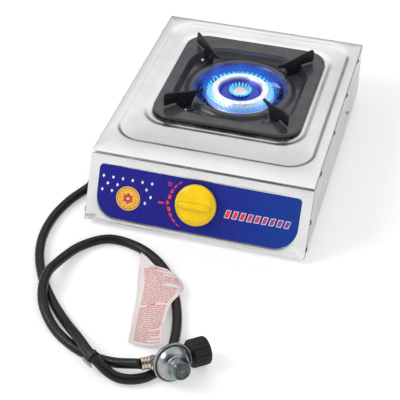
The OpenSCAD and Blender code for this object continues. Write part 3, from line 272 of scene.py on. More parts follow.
def feed(tree, shader, sockets):
    for key, socket in sockets.items():
        tree.links.new(socket, shader.inputs[key])


def addBump(tree, shader, height, strength, distance):
    bump = addNode(tree, "Bump", {"Height": height, "Strength": strength, "Distance": distance})
    tree.links.new(bump.outputs[0], shader.inputs["Normal"])


def scaled(tint, by, plus=0.0):
    return tuple(min(1.0, c * by + plus) for c in tint)


def srgb(text):
    parts = [int(text[i:i + 2], 16) / 255 for i in (0, 2, 4)]
    return tuple(c / 12.92 if c <= 0.04045 else ((c + 0.055) / 1.055) ** 2.4 for c in parts)


# How each kind of surface is built up. Scales are those of its noise, worn is where its edges begin and end
# to wear, rough the range of its cloudy roughness as shares of the given one, depth its bump's in metres;
# a pair beside a tint multiplies it and adds to it
metal = {"patchScale": 70.0, "patch": (0.8, 0.0), "edge": (1.25, 0.0), "worn": (0.53, 0.6),
         "roughScale": 150.0, "rough": (0.8, 1.25), "mix": 0.5, "depth": 0.0001}
moulded = {"patchScale": 55.0, "patch": (0.86, 0.0), "edge": (1.15, 0.02), "worn": (0.53, 0.6),
           "roughScale": 90.0, "rough": (0.85, 1.2), "mix": 0.5, "depth": 0.00015, "coatRough": 0.1,
           "dustScale": 80.0, "lint": (0.5, 0.49, 0.47)}
enamel = {"speckScale": 1400.0, "speckMix": 0.2, "speck": (2.4, 0.01), "worn": (0.56, 0.64),
          "roughScale": 40.0, "rough": (0.8, 1.35), "mix": 0.0, "depth": 0.0004, "grain": 260.0,
          "strength": 0.1, "coat": 0.15, "coatRough": 0.12, "dusty": 0.1, "dustScale": 45.0,
          "lint": (0.42, 0.41, 0.40)}


# what the solid finishes share: worn edges, dust, cloudy roughness and the bump of the grain
def coverSurface(tree, shader, kind, tint, edge, rough, grain, strength, dusty=0.0):
    start, end = kind["worn"]
    tint = mixColour(tree, place(tree, edgeWear, Start=start, End=end)[0], tint, edge)
    if "lint" in kind:
        lying = place(tree, dust, Amount=dusty, Scale=kind["dustScale"])[0]
        tint = mixColour(tree, lying, tint, kind["lint"])
    low, high = (rough * share for share in kind["rough"])
    feed(tree, shader, {"Base Color": tint, "Roughness": cloudy(tree, kind["roughScale"], low, high)})
    height = place(tree, pebble, Scale=grain, Mix=kind["mix"])["Height"]
    addBump(tree, shader, height, strength, kind["depth"])


# cast, plated or machined metal with its own colour, grain and worn edges
def metalMaterial(name, base, rough=0.35, grain=900.0, depth=0.15, second=None):
    material, tree, shader = newMaterial(name, base, metallic=1.0)
    other = second or scaled(base, *metal["patch"])
    tint = mixColour(tree, cloudy(tree, metal["patchScale"]), other, base)
    coverSurface(tree, shader, metal, tint, scaled(base, *metal["edge"]), rough, grain, depth)
    return material


# moulded plastic, rubber or ink
def mouldedMaterial(name, base, rough=0.4, grain=700.0, depth=0.08, dusty=0.1, coat=0.0, gloss=0.5):
    material, tree, shader = newMaterial(name, base, gloss=gloss, coat=coat, coatRough=moulded["coatRough"])
    tint = mixColour(tree, cloudy(tree, moulded["patchScale"]), scaled(base, *moulded["patch"]), base)
    coverSurface(tree, shader, moulded, tint, scaled(base, *moulded["edge"]), rough, grain, depth, dusty)
    return material


# vitreous enamel: deep gloss, tiny specks, slow orange peel, chipped bright at sharp edges
def enamelMaterial(name, base, rough=0.22, chip=(0.25, 0.25, 0.26), gloss=0.4):
    material, tree, shader = newMaterial(name, base, gloss=gloss, coat=enamel["coat"],
                                         coatRough=enamel["coatRough"])
    specks = place(tree, pebble, Scale=enamel["speckScale"], Mix=enamel["speckMix"])["Speck"]
    tint = mixColour(tree, specks, base, scaled(base, *enamel["speck"]))
    coverSurface(tree, shader, enamel, tint, chip, rough, enamel["grain"], enamel["strength"],
                 enamel["dusty"])
    return material


# stainless sheet: soft brushed streaks, cloudy roughness and a faint film in blotches
steel = {"streak": (0.93, 0.93, 0.94), "film": (0.955, 0.96, 0.965), "filmScale": 9.0,
         "rough": (22.0, 0.2, 0.32), "bump": (0.025, 0.00004)}


def steelMaterial(name, stretch, tone=0.82):
    material, tree, shader = newMaterial(name, (tone,) * 3, metallic=1.0)
    streaks = place(tree, brushed, Stretch=stretch)
    tint = mixColour(tree, streaks["Streak"], scaled(steel["streak"], tone), (tone,) * 3)
    film = mixColour(tree, cloudy(tree, steel["filmScale"]), steel["film"], (1, 1, 1))
    feed(tree, shader, {"Base Color": mixColour(tree, 1.0, tint, film, "MULTIPLY"),
                        "Roughness": cloudy(tree, *steel["rough"])})
    addBump(tree, shader, streaks["Height"], *steel["bump"])
    return material


# the fascia's print: indigo at the left that turns to a clearer blue at the right, under a satin lacquer;
# fades are in metres across the stove
printLook = {"gloss": 0.12, "fade": (-0.02, 0.155), "grain": 2500.0, "fleck": (1.25, 0.004),
             "dusty": 0.05, "dustScale": 120.0, "lint": (0.5, 0.5, 0.52), "rough": (30.0, 0.26, 0.4),
             "inkRough": 0.35, "inkFade": (0.05, 0.14), "inkFleck": (0.7, 0.6, 0.7)}


# a tint that turns from one colour to the other, with flecks of a third
def printTint(tree, left, right, fade, fleck, smooth=False):
    tint = mixColour(tree, remap(tree, objectAxis(tree, "X"), *fade, smooth=smooth), left, right)
    return mixColour(tree, place(tree, pebble, Scale=printLook["grain"], Mix=0.0)["Speck"], tint, fleck)


def fasciaMaterial(name, left, right):
    material, tree, shader = newMaterial(name, left, gloss=printLook["gloss"])
    tint = printTint(tree, left, right, printLook["fade"], scaled(right, *printLook["fleck"]), smooth=True)
    lying = place(tree, dust, Amount=printLook["dusty"], Scale=printLook["dustScale"])[0]
    feed(tree, shader, {"Base Color": mixColour(tree, lying, tint, printLook["lint"]),
                        "Roughness": cloudy(tree, *printLook["rough"])})
    return material


# ink that changes colour along the row of bars
def fadeMaterial(name, left, right):
    material, tree, shader = newMaterial(name, left, rough=printLook["inkRough"])
    tint = printTint(tree, left, right, printLook["inkFade"], printLook["inkFleck"])
    feed(tree, shader, {"Base Color": tint})
    return material


# crumpled plastic film with a faint, uneven bleed of its ink
filmLook = {"rough": 0.4, "bleed": (45.0, 0.0, 0.3), "crumple": 60.0, "bump": (0.3, 0.0015)}


def filmMaterial(name, base, ink):
    material, tree, shader = newMaterial(name, base, rough=filmLook["rough"])
    feed(tree, shader, {"Base Color": mixColour(tree, cloudy(tree, *filmLook["bleed"]), base, ink)})
    addBump(tree, shader, cloudy(tree, filmLook["crumple"]), *filmLook["bump"])
    return material


# Burning gas, dense at its root and gone at its tip. root is a place and way a direction, both out from the
# burner's axis and up; cover is how much it hides and dense how much more it hides at its root
gas = {"solid": 0.4, "rootFrom": 0.8, "wisp": (300.0, 0.8, 1.0)}


def flameMaterial(name, root, way, length, cool, hot, strength, cover, dense=0.0):
    material, tree, shader = newMaterial(name, (0, 0, 0), rough=1.0, gloss=0.0, glow=strength)
    spot = place(tree, axis)
    start = (root[0] * way[0] + root[1] * way[1]) * mm
    out = calc(tree, "MULTIPLY_ADD", spot["Away"], way[0], -start)
    along = calc(tree, "MULTIPLY_ADD", spot["Up"], way[1], out)
    heat = remap(tree, along, 0.0, length * mm, 1.0, 0.0)
    body = remap(tree, heat, 0.0, gas["solid"], 0.0, cover)
    thick = calc(tree, "ADD", body, remap(tree, heat, gas["rootFrom"], 1.0, 0.0, dense))
    feed(tree, shader, {"Emission Color": mixColour(tree, heat, cool, hot),
                        "Alpha": calc(tree, "MULTIPLY", thick, cloudy(tree, *gas["wisp"]))})
    return material


# lays another tint over a material's own where the mask is 1
def overlay(tree, shader, mask, tint):
    own = shader.inputs["Base Color"].links[0].from_socket
    feed(tree, shader, {"Base Color": mixColour(tree, mask, own, tint)})


# metal with the flames' light painted on: a painted blue tint and a painted blue glow near the burner's axis
# end between the two radii of reach, and a painted glow lies beyond them
def litMetalMaterial(name, base, tint, glow, reach, outerPaintedGlow=(0, 0, 0), **more):
    material = metalMaterial(name, base, **more)
    tree = material.node_tree
    shader = tree.nodes["Principled BSDF"]
    near = remap(tree, place(tree, axis)["Away"], reach[0], reach[1], 1.0, 0.0, smooth=True)
    overlay(tree, shader, near, tint)
    feed(tree, shader, {"Emission Color": mixColour(tree, near, outerPaintedGlow, glow)})
    shader.inputs["Emission Strength"].default_value = 1.0
    return material


# a metal that turns to another below a height in metres
def bandedMetalMaterial(name, base, below, height, blend=0.0005, **more):
    material = metalMaterial(name, base, **more)
    tree = material.node_tree
    low = remap(tree, place(tree, axis)["Up"], height + blend, height - blend)
    overlay(tree, tree.nodes["Principled BSDF"], low, below)
    return material


finish = {
    "steelTop": steelMaterial("steel_top", stretch=(7, 800, 800)),
    # the side and rear sheets: the top's steel brushed the other way, with a lower tone as painted shade
    "steelSidePaintedShade": steelMaterial("steel_side_painted_shade", stretch=(800, 7, 800), tone=0.55),
    # the hook tabs' steel, made dark as painted shade
    "hookSteelPaintedShade": metalMaterial("hook_steel_painted_shade", (0.13, 0.13, 0.135)),
    "zincPlate": metalMaterial("zinc_plate", (0.62, 0.63, 0.64), rough=0.3, second=(0.5, 0.5, 0.48)),
    "castMetal": metalMaterial("cast_metal", (0.42, 0.42, 0.43), rough=0.5, grain=500.0, depth=0.4),
    "ringMetal": metalMaterial("ring_metal", (0.78, 0.79, 0.83), rough=0.34, grain=1200.0),
    "brass": metalMaterial("brass", (0.62, 0.44, 0.18), rough=0.28, second=(0.5, 0.33, 0.13)),
    "screwMetal": metalMaterial("screw_metal", (0.55, 0.55, 0.56), rough=0.25),
    "spring": metalMaterial("spring_steel", (0.4, 0.4, 0.41), rough=0.3),
    "sleeve": metalMaterial("sleeve_plate", (0.62, 0.51, 0.4), rough=0.25, second=(0.5, 0.42, 0.36)),
    "bonnetPlate": metalMaterial("bonnet_plate", (0.42, 0.42, 0.39), rough=0.27, depth=0.06,
                                 second=(0.26, 0.31, 0.33)),
    "conePlate": metalMaterial("cone_plate", (0.22, 0.27, 0.28), rough=0.24, depth=0.06,
                               second=(0.1, 0.14, 0.15)),
    "capPlate": metalMaterial("cap_plate", (0.085, 0.1, 0.1), grain=350.0, depth=0.5),
    "tieMetal": bandedMetalMaterial("tie_metal", (0.05, 0.05, 0.05), below=(0.3, 0.3, 0.29), height=0.0205,
                                    rough=0.42, grain=500.0, depth=0.4),
    # the burner ring and body carry painted flame light, the ring also a painted glow that brightens it, and
    # the body a darker base as painted shade in the dish
    "litRing": litMetalMaterial("lit_ring", (0.78, 0.79, 0.83), tint=(0.09, 0.1, 0.4),
                                glow=(0.006, 0.01, 0.15), reach=(0.033, 0.0375), outerPaintedGlow=(0.2, 0.22, 0.27),
                                rough=0.46, grain=1200.0),
    "litCasting": litMetalMaterial("lit_casting", (0.3, 0.3, 0.32), tint=(0.1, 0.11, 0.35),
                                   glow=(0.006, 0.01, 0.14), reach=(0.034, 0.06), rough=0.5, grain=500.0,
                                   depth=0.4),
    "fascia": fasciaMaterial("fascia_blue", srgb("222188"), srgb("153990")),
    "fadeInk": fadeMaterial("fade_ink", srgb("e3262c"), srgb("6a2f86")),
    "panEnamel": enamelMaterial("pan_enamel", srgb("36373a")),
    "blackEnamel": enamelMaterial("black_enamel", srgb("151516"), rough=0.4, chip=(0.05, 0.05, 0.05),
                                  gloss=0.25),
    "knob": mouldedMaterial("knob_yellow", srgb("ffd400"), rough=0.3, depth=0.03, dusty=0.0,
                            coat=0.03, gloss=0.35),
    # dark rubber for the feet and the diaphragm; the same material paints shade in the edge gap, the hook
    # slots and the bonnet's groove
    "rubberAndPaintedShade": mouldedMaterial("rubber_and_painted_shade", srgb("262626"), rough=0.7, depth=0.2),
    "hoseRubber": mouldedMaterial("hose_rubber", srgb("0e0f0e"), rough=0.36, depth=0.05, dusty=0.02,
                                  gloss=0.3),
    "wheelPlastic": mouldedMaterial("wheel_plastic", srgb("131414"), rough=0.5, depth=0.2, dusty=0.02,
                                    gloss=0.3),
    "seal": mouldedMaterial("seal_rubber", srgb("2b5a3c"), rough=0.6),
    "whiteInk": mouldedMaterial("white_ink", (0.85, 0.85, 0.87), rough=0.35, dusty=0.02),
    "redInk": mouldedMaterial("red_ink", srgb("ec2532"), rough=0.35, dusty=0.02),
    "yellowInk": mouldedMaterial("yellow_ink", srgb("fbb73a"), rough=0.35, dusty=0.02),
    "darkInk": mouldedMaterial("dark_ink", srgb("3a1410"), dusty=0.02),
    "greenInk": mouldedMaterial("green_ink", srgb("3c8f3a"), dusty=0.02),
    "tagInk": mouldedMaterial("tag_ink", srgb("d98d8c"), rough=0.5, dusty=0.0),
    "tagFilm": filmMaterial("tag_film", (0.8, 0.775, 0.745), srgb("e0a8a8")),
    "flame": flameMaterial("burning_gas", root=(50.5, 91), way=(0.753, 0.659), length=6.2,
                           cool=(0.16, 0.7, 1.0), hot=(0.02, 0.42, 0.62), strength=1.5, cover=0.8, dense=0.4),
    "capFlame": flameMaterial("burning_gas_cap", root=(12.9, 91), way=(0.8, 0.6), length=9.5,
                              cool=(0.16, 0.7, 1.0), hot=(0.05, 0.5, 0.7), strength=1.5, cover=0.7,
                              dense=0.25),
    "veil": flameMaterial("gas_veil", root=(50, 91), way=(1, 0), length=16, cool=(0.03, 0.07, 0.9),
                          hot=(0.06, 0.42, 1.0), strength=0.95, cover=0.5),
}
print("materials made:", len(finish))

nodeFinish = {
    "steelTop": ["top_panel"],
    "steelSidePaintedShade": ["side_panel_left", "side_panel_right", "rear_panel"],
    "zincPlate": ["base_rail_front", "base_rail_rear", "burner_bar", "gas_pipe", "regulator_body",
                  "outlet_nut", "support_rivets"],
    "screwMetal": ["casing_screws", "burner_screws", "valve_screws", "valve_spindle"],
    "castMetal": ["mixing_tube", "air_shutter"],
    "litCasting": ["burner_body"],
    "ringMetal": ["burner_cap"],
    "litRing": ["burner_ring"],
    "brass": ["valve_body", "valve_cover", "valve_plug", "injector", "pipe_nut", "inlet_nipple",
              "inlet_locknut", "hose_nut", "inlet_nose"],
    "spring": ["valve_spring", "regulator_spring"],
    "tieMetal": ["hose_clip"],
    "fascia": ["fascia_plate"],
    "knob": ["knob"],
    "panEnamel": ["drip_pan"],
    "blackEnamel": ["pot_support_back_left", "pot_support_back_right", "pot_support_front_left",
                    "pot_support_front_right"],
    "rubberAndPaintedShade": ["foot_front_left", "foot_front_right", "foot_rear_left", "foot_rear_right",
                   "regulator_diaphragm"],
    "hoseRubber": ["hose"],
    "wheelPlastic": ["coupling_wheel"],
    "seal": ["nose_seal"],
    "bonnetPlate": ["regulator_bonnet"],
    "capPlate": ["regulator_cap"],
    "sleeve": ["inlet_ferrule", "outlet_ferrule"],
    "tagFilm": ["warning_tag"],
}
for key, names in nodeFinish.items():
    for name in names:
        slots = cadNodes[name].data.materials
        slots.clear()
        slots.append(finish[key])
print("nodes dressed")


# mesh helpers, which take millimetres; look is a key of finish
def meshPiece(name, bm, body, look, sharp=35, lay=None):
    data = bpy.data.meshes.new(name)
    bm.to_mesh(data)
    bm.free()
    if lay is not None:
        data.transform(lay)
    data.materials.append(finish[look])
    data.shade_smooth()
    data.set_sharp_from_angle(angle=math.radians(sharp))
    piece = bpy.data.objects.new(name, data)
    scene.collection.objects.link(piece)
    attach(piece, body)
    return piece


# gives a skin the thickness of its sheet, inwards unless the offset says otherwise
def thicken(piece, thick, offset=-1):
    shell = piece.modifiers.new("sheet", "SOLIDIFY")
    shell.thickness, shell.offset = thick * mm, offset


# a skin through rows of points; each row may close on itself, and the two ends may be filled
def addRows(bm, rows, closed=True, ends=False):
    made = [[bm.verts.new(Vector(point) * mm) for point in row] for row in rows]
    for a, b in zip(made, made[1:]):
        for i in range(len(a) if closed else len(a) - 1):
            j = (i + 1) % len(a)
            bm.faces.new((a[i], a[j], b[j], b[i]))
    if ends:
        bm.faces.new(made[0][::-1])
        bm.faces.new(made[-1])


# turns (radius, z) points about Z; a point on the axis becomes one vertex
def addLathe(bm, profile, sides=96, close=False):
    rows = [[bm.verts.new(polar(r, a, z) * mm) for a in (around(sides) if r > 1e-6 else [0])]
            for r, z in profile]
    for a, b in list(zip(rows, rows[1:])) + ([(rows[-1], rows[0])] if close else []):
        for i in range(sides):
            j = (i + 1) % sides
            corners = [a[i % len(a)], a[j % len(a)], b[j % len(b)], b[i % len(b)]]
            kept = [corner for k, corner in enumerate(corners) if corner not in corners[:k]]
            if len(kept) > 2:
                bm.faces.new(kept)


# a box of the given size in the frame at, with its edges bevelled
def addBlock(bm, size, at, bevel):
    made = bmesh.ops.create_cube(bm, size=1.0)["verts"]
    bmesh.ops.transform(bm, matrix=at @ Matrix.Diagonal((*[s * mm for s in size], 1)), verts=made)
    edges = list({e for v in made for e in v.link_edges})
    bmesh.ops.bevel(bm, geom=edges, offset=bevel * mm, segments=2, profile=0.5, affect="EDGES")


# closes what a profile or an end left double
def weld(bm, within=0.001):
    bmesh.ops.remove_doubles(bm, verts=bm.verts, dist=within * mm)


# rounds the corners of a line of (r, z) points; a third number in a point is its own radius
rounding = {"radius": 0.8, "steps": 4, "share": 0.48, "least": 0.01}


def rounded(points):
    line = [tuple(points[0][:2])]
    for before, here, after in zip(points, points[1:], points[2:]):
        a, b, c = Vector(before[:2]), Vector(here[:2]), Vector(after[:2])
        own = here[2] if len(here) > 2 else rounding["radius"]
        reach = min(own, (a - b).length * rounding["share"], (c - b).length * rounding["share"])
        if reach < rounding["least"]:
            line.append(tuple(b))
            continue
        start, end = b + (a - b).normalized() * reach, b + (c - b).normalized() * reach
        for t in arcSteps(1, rounding["steps"]):
            line.append(tuple(start * (1 - t) ** 2 + b * 2 * t * (1 - t) + end * t * t))
    return line + [tuple(points[-1][:2])]


def ease(t):
    return (1 - math.cos(math.pi * t)) / 2


# A pressed outline with round corners, counted from the right rear corner. With square=True the corner
# points lie on the square corner instead, so that the two kinds of loop join face to face.
pressing = {"cornerSteps": 12, "sideSteps": 8}


def pressedLoop(width, depth, radii, centreY=0.0, z=0.0, square=False):
    radii = radii if isinstance(radii, tuple) else (radii,) * 4
    arcs = []
    for (sx, sy), turn, r in zip(((1, 1), (-1, 1), (-1, -1), (1, -1)), around(4), radii):
        u = polar(1, turn)
        v = Vector((-u.y, u.x, 0))
        middle = Vector((sx * (width / 2 - r), centreY + sy * (depth / 2 - r), z))
        arc = []
        for t in arcSteps(1, pressing["cornerSteps"]):
            if square:
                arc.append(middle + u * r * min(1, 2 - 2 * t) + v * r * min(1, 2 * t))
            else:
                arc.append(middle + r * (math.cos(t * math.pi / 2) * u + math.sin(t * math.pi / 2) * v))
        arcs.append(arc)
    loop = []
    for arc, following in zip(arcs, arcs[1:] + arcs[:1]):
        loop += arc + [arc[-1].lerp(following[0], t) for t in arcSteps(1, pressing["sideSteps"])[1:-1]]
    return loop


# loops from one outline to another, both (width, depth, radius, z), with a smooth S between their heights
def easedLoops(first, last, centreY, steps=6):
    loops = []
    for t in arcSteps(1, steps):
        w, d, r = (first[i] + (last[i] - first[i]) * t for i in range(3))
        loops.append(pressedLoop(w, d, r, centreY, first[3] + (last[3] - first[3]) * ease(t)))
    return loops


# The pressed top and the sloping front, one sheet. Outlines are (width, depth, corner radius)
casing = {"edgeBend": 1.5, "lip": 0.1, "cornerZone": 40, "recess": (315, 369, 45), "recessRun": 9,
          "recessDrop": 3, "recessY": 33, "gutter": (267, 293, 46), "gutterFloor": (246, 270, 38),
          "gutterDrop": 2.4, "ledge": 13, "fascia": (309, 80), "fasciaDrop": 18,
          "fasciaRadii": (7, 7, 34, 34), "groove": 4.5, "pocketDepth": 0.25, "pocketSteps": 4,
          "plateDepth": 1.5, "pocketEase": 1.2, "leastRadius": 2, "flange": 12, "footBend": 2.5,
          "bendSteps": 6, "edgeSteps": 4, "same": 1e-4}
# sizes of the dark strip that paints the shadow under the turned edge
edgeGapPaintedShadow = {"upper": 0.1, "lower": 2.1, "out": 0.2, "inside": 0.4}
up = Vector((0, 0, 1))


def laidOnFace(points):
    return [(faceFrame @ (point * mm)) / mm for point in points]


def topLoops(half, foldY, backY):
    recessZ = stove["topZ"] - casing["recessDrop"]
    gutterZ = recessZ - casing["gutterDrop"]
    run, ledge, (rw, rd, rr) = casing["recessRun"], casing["ledge"], casing["recess"]
    gw, gd, gr = casing["gutterFloor"]
    loops = [pressedLoop(2 * half, backY - foldY, casing["cornerZone"], (backY + foldY) / 2, stove["topZ"],
                         square=True)]
    loops += easedLoops((rw, rd, rr, stove["topZ"]), (rw - 2 * run, rd - 2 * run, rr - run, recessZ),
                        casing["recessY"])
    loops += easedLoops((*casing["gutter"], recessZ), (gw, gd, gr, gutterZ), stove["wellY"])
    return loops + [pressedLoop(gw - 2 * ledge, gd - 2 * ledge, gr - ledge, stove["wellY"], gutterZ)]


# the front is made flat in its own plane and then laid on the slope
def frontLoops(half, tangent, faceH):
    fw, fh = casing["fascia"]
    printY = -(casing["fasciaDrop"] + fh / 2)
    loops = [pressedLoop(2 * half, faceH, casing["cornerZone"], -(tangent + faceH / 2), square=True)]
    for t in arcSteps(1, casing["pocketSteps"]):
        grow = casing["groove"] + casing["pocketEase"] * (1 - 2 * t)
        radii = tuple(r + grow for r in casing["fasciaRadii"])
        deep = -casing["pocketDepth"] * ease(t)
        loops.append(pressedLoop(fw + 2 * grow, fh + 2 * grow, radii, printY, deep))
    inset = casing["groove"]
    inner = tuple(max(r - inset, casing["leastRadius"]) for r in casing["fasciaRadii"])
    loops.append(pressedLoop(fw - 2 * inset, fh - 2 * inset, inner, printY, -casing["plateDepth"]))
    return [laidOnFace(loop) for loop in loops]


# turns an edge down round a small bend; the path holds points and the sheet's normals there
def turnDown(bm, path, outward):
    bend = casing["edgeBend"]
    rows = [[p + bend * (math.sin(a) * outward + (math.cos(a) - 1) * n) for p, n in path]
            for a in arcSteps(math.pi / 2, casing["edgeSteps"])]
    rows.append([p + bend * outward - (bend + casing["lip"]) * n for p, n in path])
    addRows(bm, rows, closed=False)


def casingSheet():
    bm = bmesh.new()
    bend, fold, foot = casing["edgeBend"], stove["fold"], casing["footBend"]
    half = stove["width"] / 2 - bend
    tangent = fold * math.tan(faceAngle / 2)
    foldY, backY = stove["frontY"] + tangent, stove["rearY"] - bend
    turn = math.pi - faceAngle
    faceH = slopeLength - tangent - foot * math.tan(turn / 2)
    top, front = topLoops(half, foldY, backY), frontLoops(half, tangent, faceH)
    addRows(bm, top)
    addRows(bm, front)

    # the fold between them, and the foot's bend with its flange
    across = sorted({round(p.x, 6) for p in top[0] if abs(p.y - foldY) < casing["same"]}, reverse=True)
    arc = [math.pi / 2 + a for a in arcSteps(faceAngle, casing["bendSteps"])]
    foldLine = [Vector((0, foldY, stove["topZ"] - fold)) + fold * Vector((0, math.cos(a), math.sin(a)))
                for a in arc]
    footLine = [Vector((0, -(tangent + faceH) - foot * math.sin(a), foot * math.cos(a) - foot))
                for a in arcSteps(turn, casing["bendSteps"])]
    footLine.append(footLine[-1] + casing["flange"] * Vector((0, -math.cos(turn), -math.sin(turn))))
    for line in (foldLine, laidOnFace(footLine)):
        addRows(bm, [[p + Vector((x, 0, 0)) for x in across] for p in line], closed=False)

    # the side edge, from the rear over the fold to the foot
    def edgePath(side):
        topEdge, faceEdge = ([p for p in loop if abs(p.x - side * half) < casing["same"]]
                             for loop in (top[0], front[0]))
        topEdge.sort(key=lambda p: -p.y)
        faceEdge.sort(key=lambda p: -p.z)
        over = [(p + Vector((side * half, 0, 0)), Vector((0, math.cos(a), math.sin(a))))
                for a, p in list(zip(arc, foldLine))[1:-1]]
        return [(p, up) for p in topEdge] + over + [(p, faceFrame.to_3x3() @ up) for p in faceEdge]

    turnDown(bm, edgePath(1), Vector((1, 0, 0)))
    turnDown(bm, edgePath(-1)[::-1], Vector((-1, 0, 0)))
    rear = sorted((p for p in top[0] if abs(p.y - backY) < casing["same"]), key=lambda p: p.x)
    turnDown(bm, [(p, up) for p in rear], Vector((0, 1, 0)))
    quarter = arcSteps(math.pi / 2, casing["edgeSteps"])
    for side in (-1, 1):
        corner = Vector((side * half, backY, stove["topZ"]))
        ways = [Vector((side * math.cos(a), math.sin(a), 0)) for a in quarter]
        rows = [[corner + bend * (math.sin(a) * way + (math.cos(a) - 1) * up) for a in quarter]
                + [corner + bend * way - (bend + casing["lip"]) * up] for way in ways]
        addRows(bm, rows[::side], closed=False)
    weld(bm, 0.01)
    piece = meshPiece("casingSheet", bm, "casing", "steelTop", sharp=50)
    thicken(piece, stove["sheet"])
    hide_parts("top_panel")

    # a dark strip between the turned edge and the side panel: painted shadow of the gap
    bm = bmesh.new()
    upper, lower, out, inside = (edgeGapPaintedShadow[key] for key in ("upper", "lower", "out", "inside"))
    for side in (-1, 1):
        addRows(bm, [[p + (bend + far) * Vector((side, 0, 0)) - (bend + drop) * n
                      for far, drop in ((out, upper), (out, lower), (-inside, lower), (-inside, upper))]
                     for p, n in edgePath(side)])
    bmesh.ops.recalc_face_normals(bm, faces=bm.faces)
    bmesh.ops.holes_fill(bm, edges=bm.edges)
    meshPiece("edgeGapPaintedShadow", bm, "casing", "rubberAndPaintedShade")


# the bent tabs that come through the side panels' slots, painted dark as painted shade, with dark plates
# round them as the slots' painted shadow; counts are in pitches from the middle
hooks = {"pitch": 108.5, "counts": (-1.5, -0.5, 0.5, 1.5), "below": 5, "inset": 0.7, "onSlope": (51, 92),
         "tab": (5.4, 6, 2.2), "slot": (1.7, 12, 4.2), "bevel": 0.4}


def casingHooks():
    middleY = (stove["frontY"] + stove["rearY"]) / 2
    for name, size, look, slot in (("casingHooks", hooks["tab"], "hookSteelPaintedShade", "stainless"),
                                   ("hookSlotsPaintedShadow", hooks["slot"], "rubberAndPaintedShade", "rubber")):
        bm = bmesh.new()
        for side in (-1, 1):
            x = side * (stove["width"] / 2 - hooks["inset"])
            for count in hooks["counts"]:
                y, z = middleY + count * hooks["pitch"], stove["topZ"] - hooks["below"]
                addBlock(bm, size, shift(x, y, z), hooks["bevel"])
            for v in hooks["onSlope"]:
                addBlock(bm, size, onFace(x, v, -hooks["below"]), hooks["bevel"])
        meshPiece(name, bm, "casing", look)


casingSheet()
casingHooks()
print("casing pressed")

# the enamelled pan: border on a turned-down rim, well, and a raised ring about the hole, whose points are
# (radius, rise over the floor)
pan = {"outline": (239, 257, 36), "onwards": 5.5, "rimRadius": 2.6, "well": (198, 202, 60), "wellRadius": 3.2,
       "wall": (194, 198, 58), "wallRise": 5, "floor": (186.5, 190, 54), "floorDrop": 12, "lower": 0.5,
       "clear": 0.2, "steps": 5, "thick": 1.0,
       "ring": ((93, 0), (90.5, 0.5), (88, 2.2), (85.5, 4.6), (83, 6.4), (80, 7.2), (77, 6.6), (74.5, 5.0),
                (72.6, 2.6), (71.4, -0.4), (71, -3), (71, -9))}


def enamelPan():
    bm = bmesh.new()
    low = stove["topZ"] - casing["recessDrop"] - casing["gutterDrop"] + pan["clear"]
    high = stove["topZ"] - pan["lower"]
    floorZ = high - pan["floorDrop"]
    w, d, r = pan["outline"]
    middle, rim, edge = stove["wellY"] + pan["onwards"], pan["rimRadius"], pan["wellRadius"]
    quarter = arcSteps(math.pi / 2, pan["steps"])
    loops = [pressedLoop(w, d, r, middle, low)]
    for a in quarter:
        inset, z = rim * (1 - math.cos(a)), high - rim * (1 - math.sin(a))
        loops.append(pressedLoop(w - 2 * inset, d - 2 * inset, r - inset, middle, z))
    w, d, r = pan["well"]
    for a in quarter:
        inset, z = edge * (1 - math.sin(a)), high - edge * (1 - math.cos(a))
        loops.append(pressedLoop(w + 2 * inset, d + 2 * inset, r + inset, stove["wellY"], z))
    loops += easedLoops((*pan["wall"], floorZ + pan["wallRise"]), (*pan["floor"], floorZ), stove["wellY"],
                        pan["steps"])
    axisPoint = Vector((0, stove["wellY"], floorZ))
    bearings = [math.atan2(p.y - stove["wellY"], p.x) for p in loops[-1]]
    loops += [[axisPoint + polar(radius, a, rise) for a in bearings] for radius, rise in pan["ring"]]
    addRows(bm, loops)
    piece = meshPiece("enamelPan", bm, "pan", "panEnamel", sharp=60)
    smooth = piece.modifiers.new("smooth", "SUBSURF")
    smooth.levels = smooth.render_levels = 1
    thicken(piece, pan["thick"])
    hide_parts("drip_pan")


enamelPan()
print("pan pressed")

# the black pot supports: blades with rolled edges on turned feet, one on each diagonal of the pan
support = {"thick": 3.0, "roll": 1.1, "rollSteps": 3, "seat": 93.7, "bevel": 0.6,
           "foot": {"start": 92, "end": 116, "width": 14, "thick": 2.0},
           "corners": {"back_right": 45, "back_left": 135, "front_left": 225, "front_right": 315},
           "outline": ((69, 114.5), (69.6, 118.6), (71.5, 119.9), (78, 120.3), (86, 120.8), (95, 121.9),
                       (103, 123.4), (110, 125.0), (117, 126.8), (124, 128.3), (131, 129.7), (136, 130.4),
                       (139.2, 129.7), (141, 126.5), (141.5, 120.5), (141.2, 114), (140, 108.2), (118, 108),
                       (116.6, 104), (116, 93.7), (92, 93.7), (90.6, 98), (88.4, 103.5), (85.6, 109),
                       (82, 112.2), (76, 113.6))}


# the outline moved inwards by a depth
def inwards(outline, depth):
    points = [Vector(p) for p in outline]
    area = sum(p.x * q.y - q.x * p.y for p, q in zip(points, points[1:] + points[:1]))
    side = 1 if area > 0 else -1
    moved = []
    for last, here, following in zip(points[-1:] + points, points, points[1:] + points[:1]):
        before, after = (here - last).normalized(), (following - here).normalized()
        left = Vector((-before.y - after.y, before.x + after.x)) * side
        spread = max(0.5, (1 + before.dot(after)) / 2)
        moved.append(here + left.normalized() * depth / math.sqrt(spread))
    return moved


# a plate with rounded edges: the outline lies in the first two axes and the thickness in the third
def addPlate(bm, outline, thick, roll, steps):
    rows = []
    for side in (-1, 1):
        ring = []
        for a in arcSteps(math.pi / 2, steps):
            z = side * (thick / 2 - roll + roll * math.sin(a))
            ring.append([Vector((*q, z)) for q in inwards(outline, roll * (1 - math.cos(a)))])
        rows += ring[::-1] if side < 0 else ring
    addRows(bm, rows, ends=True)


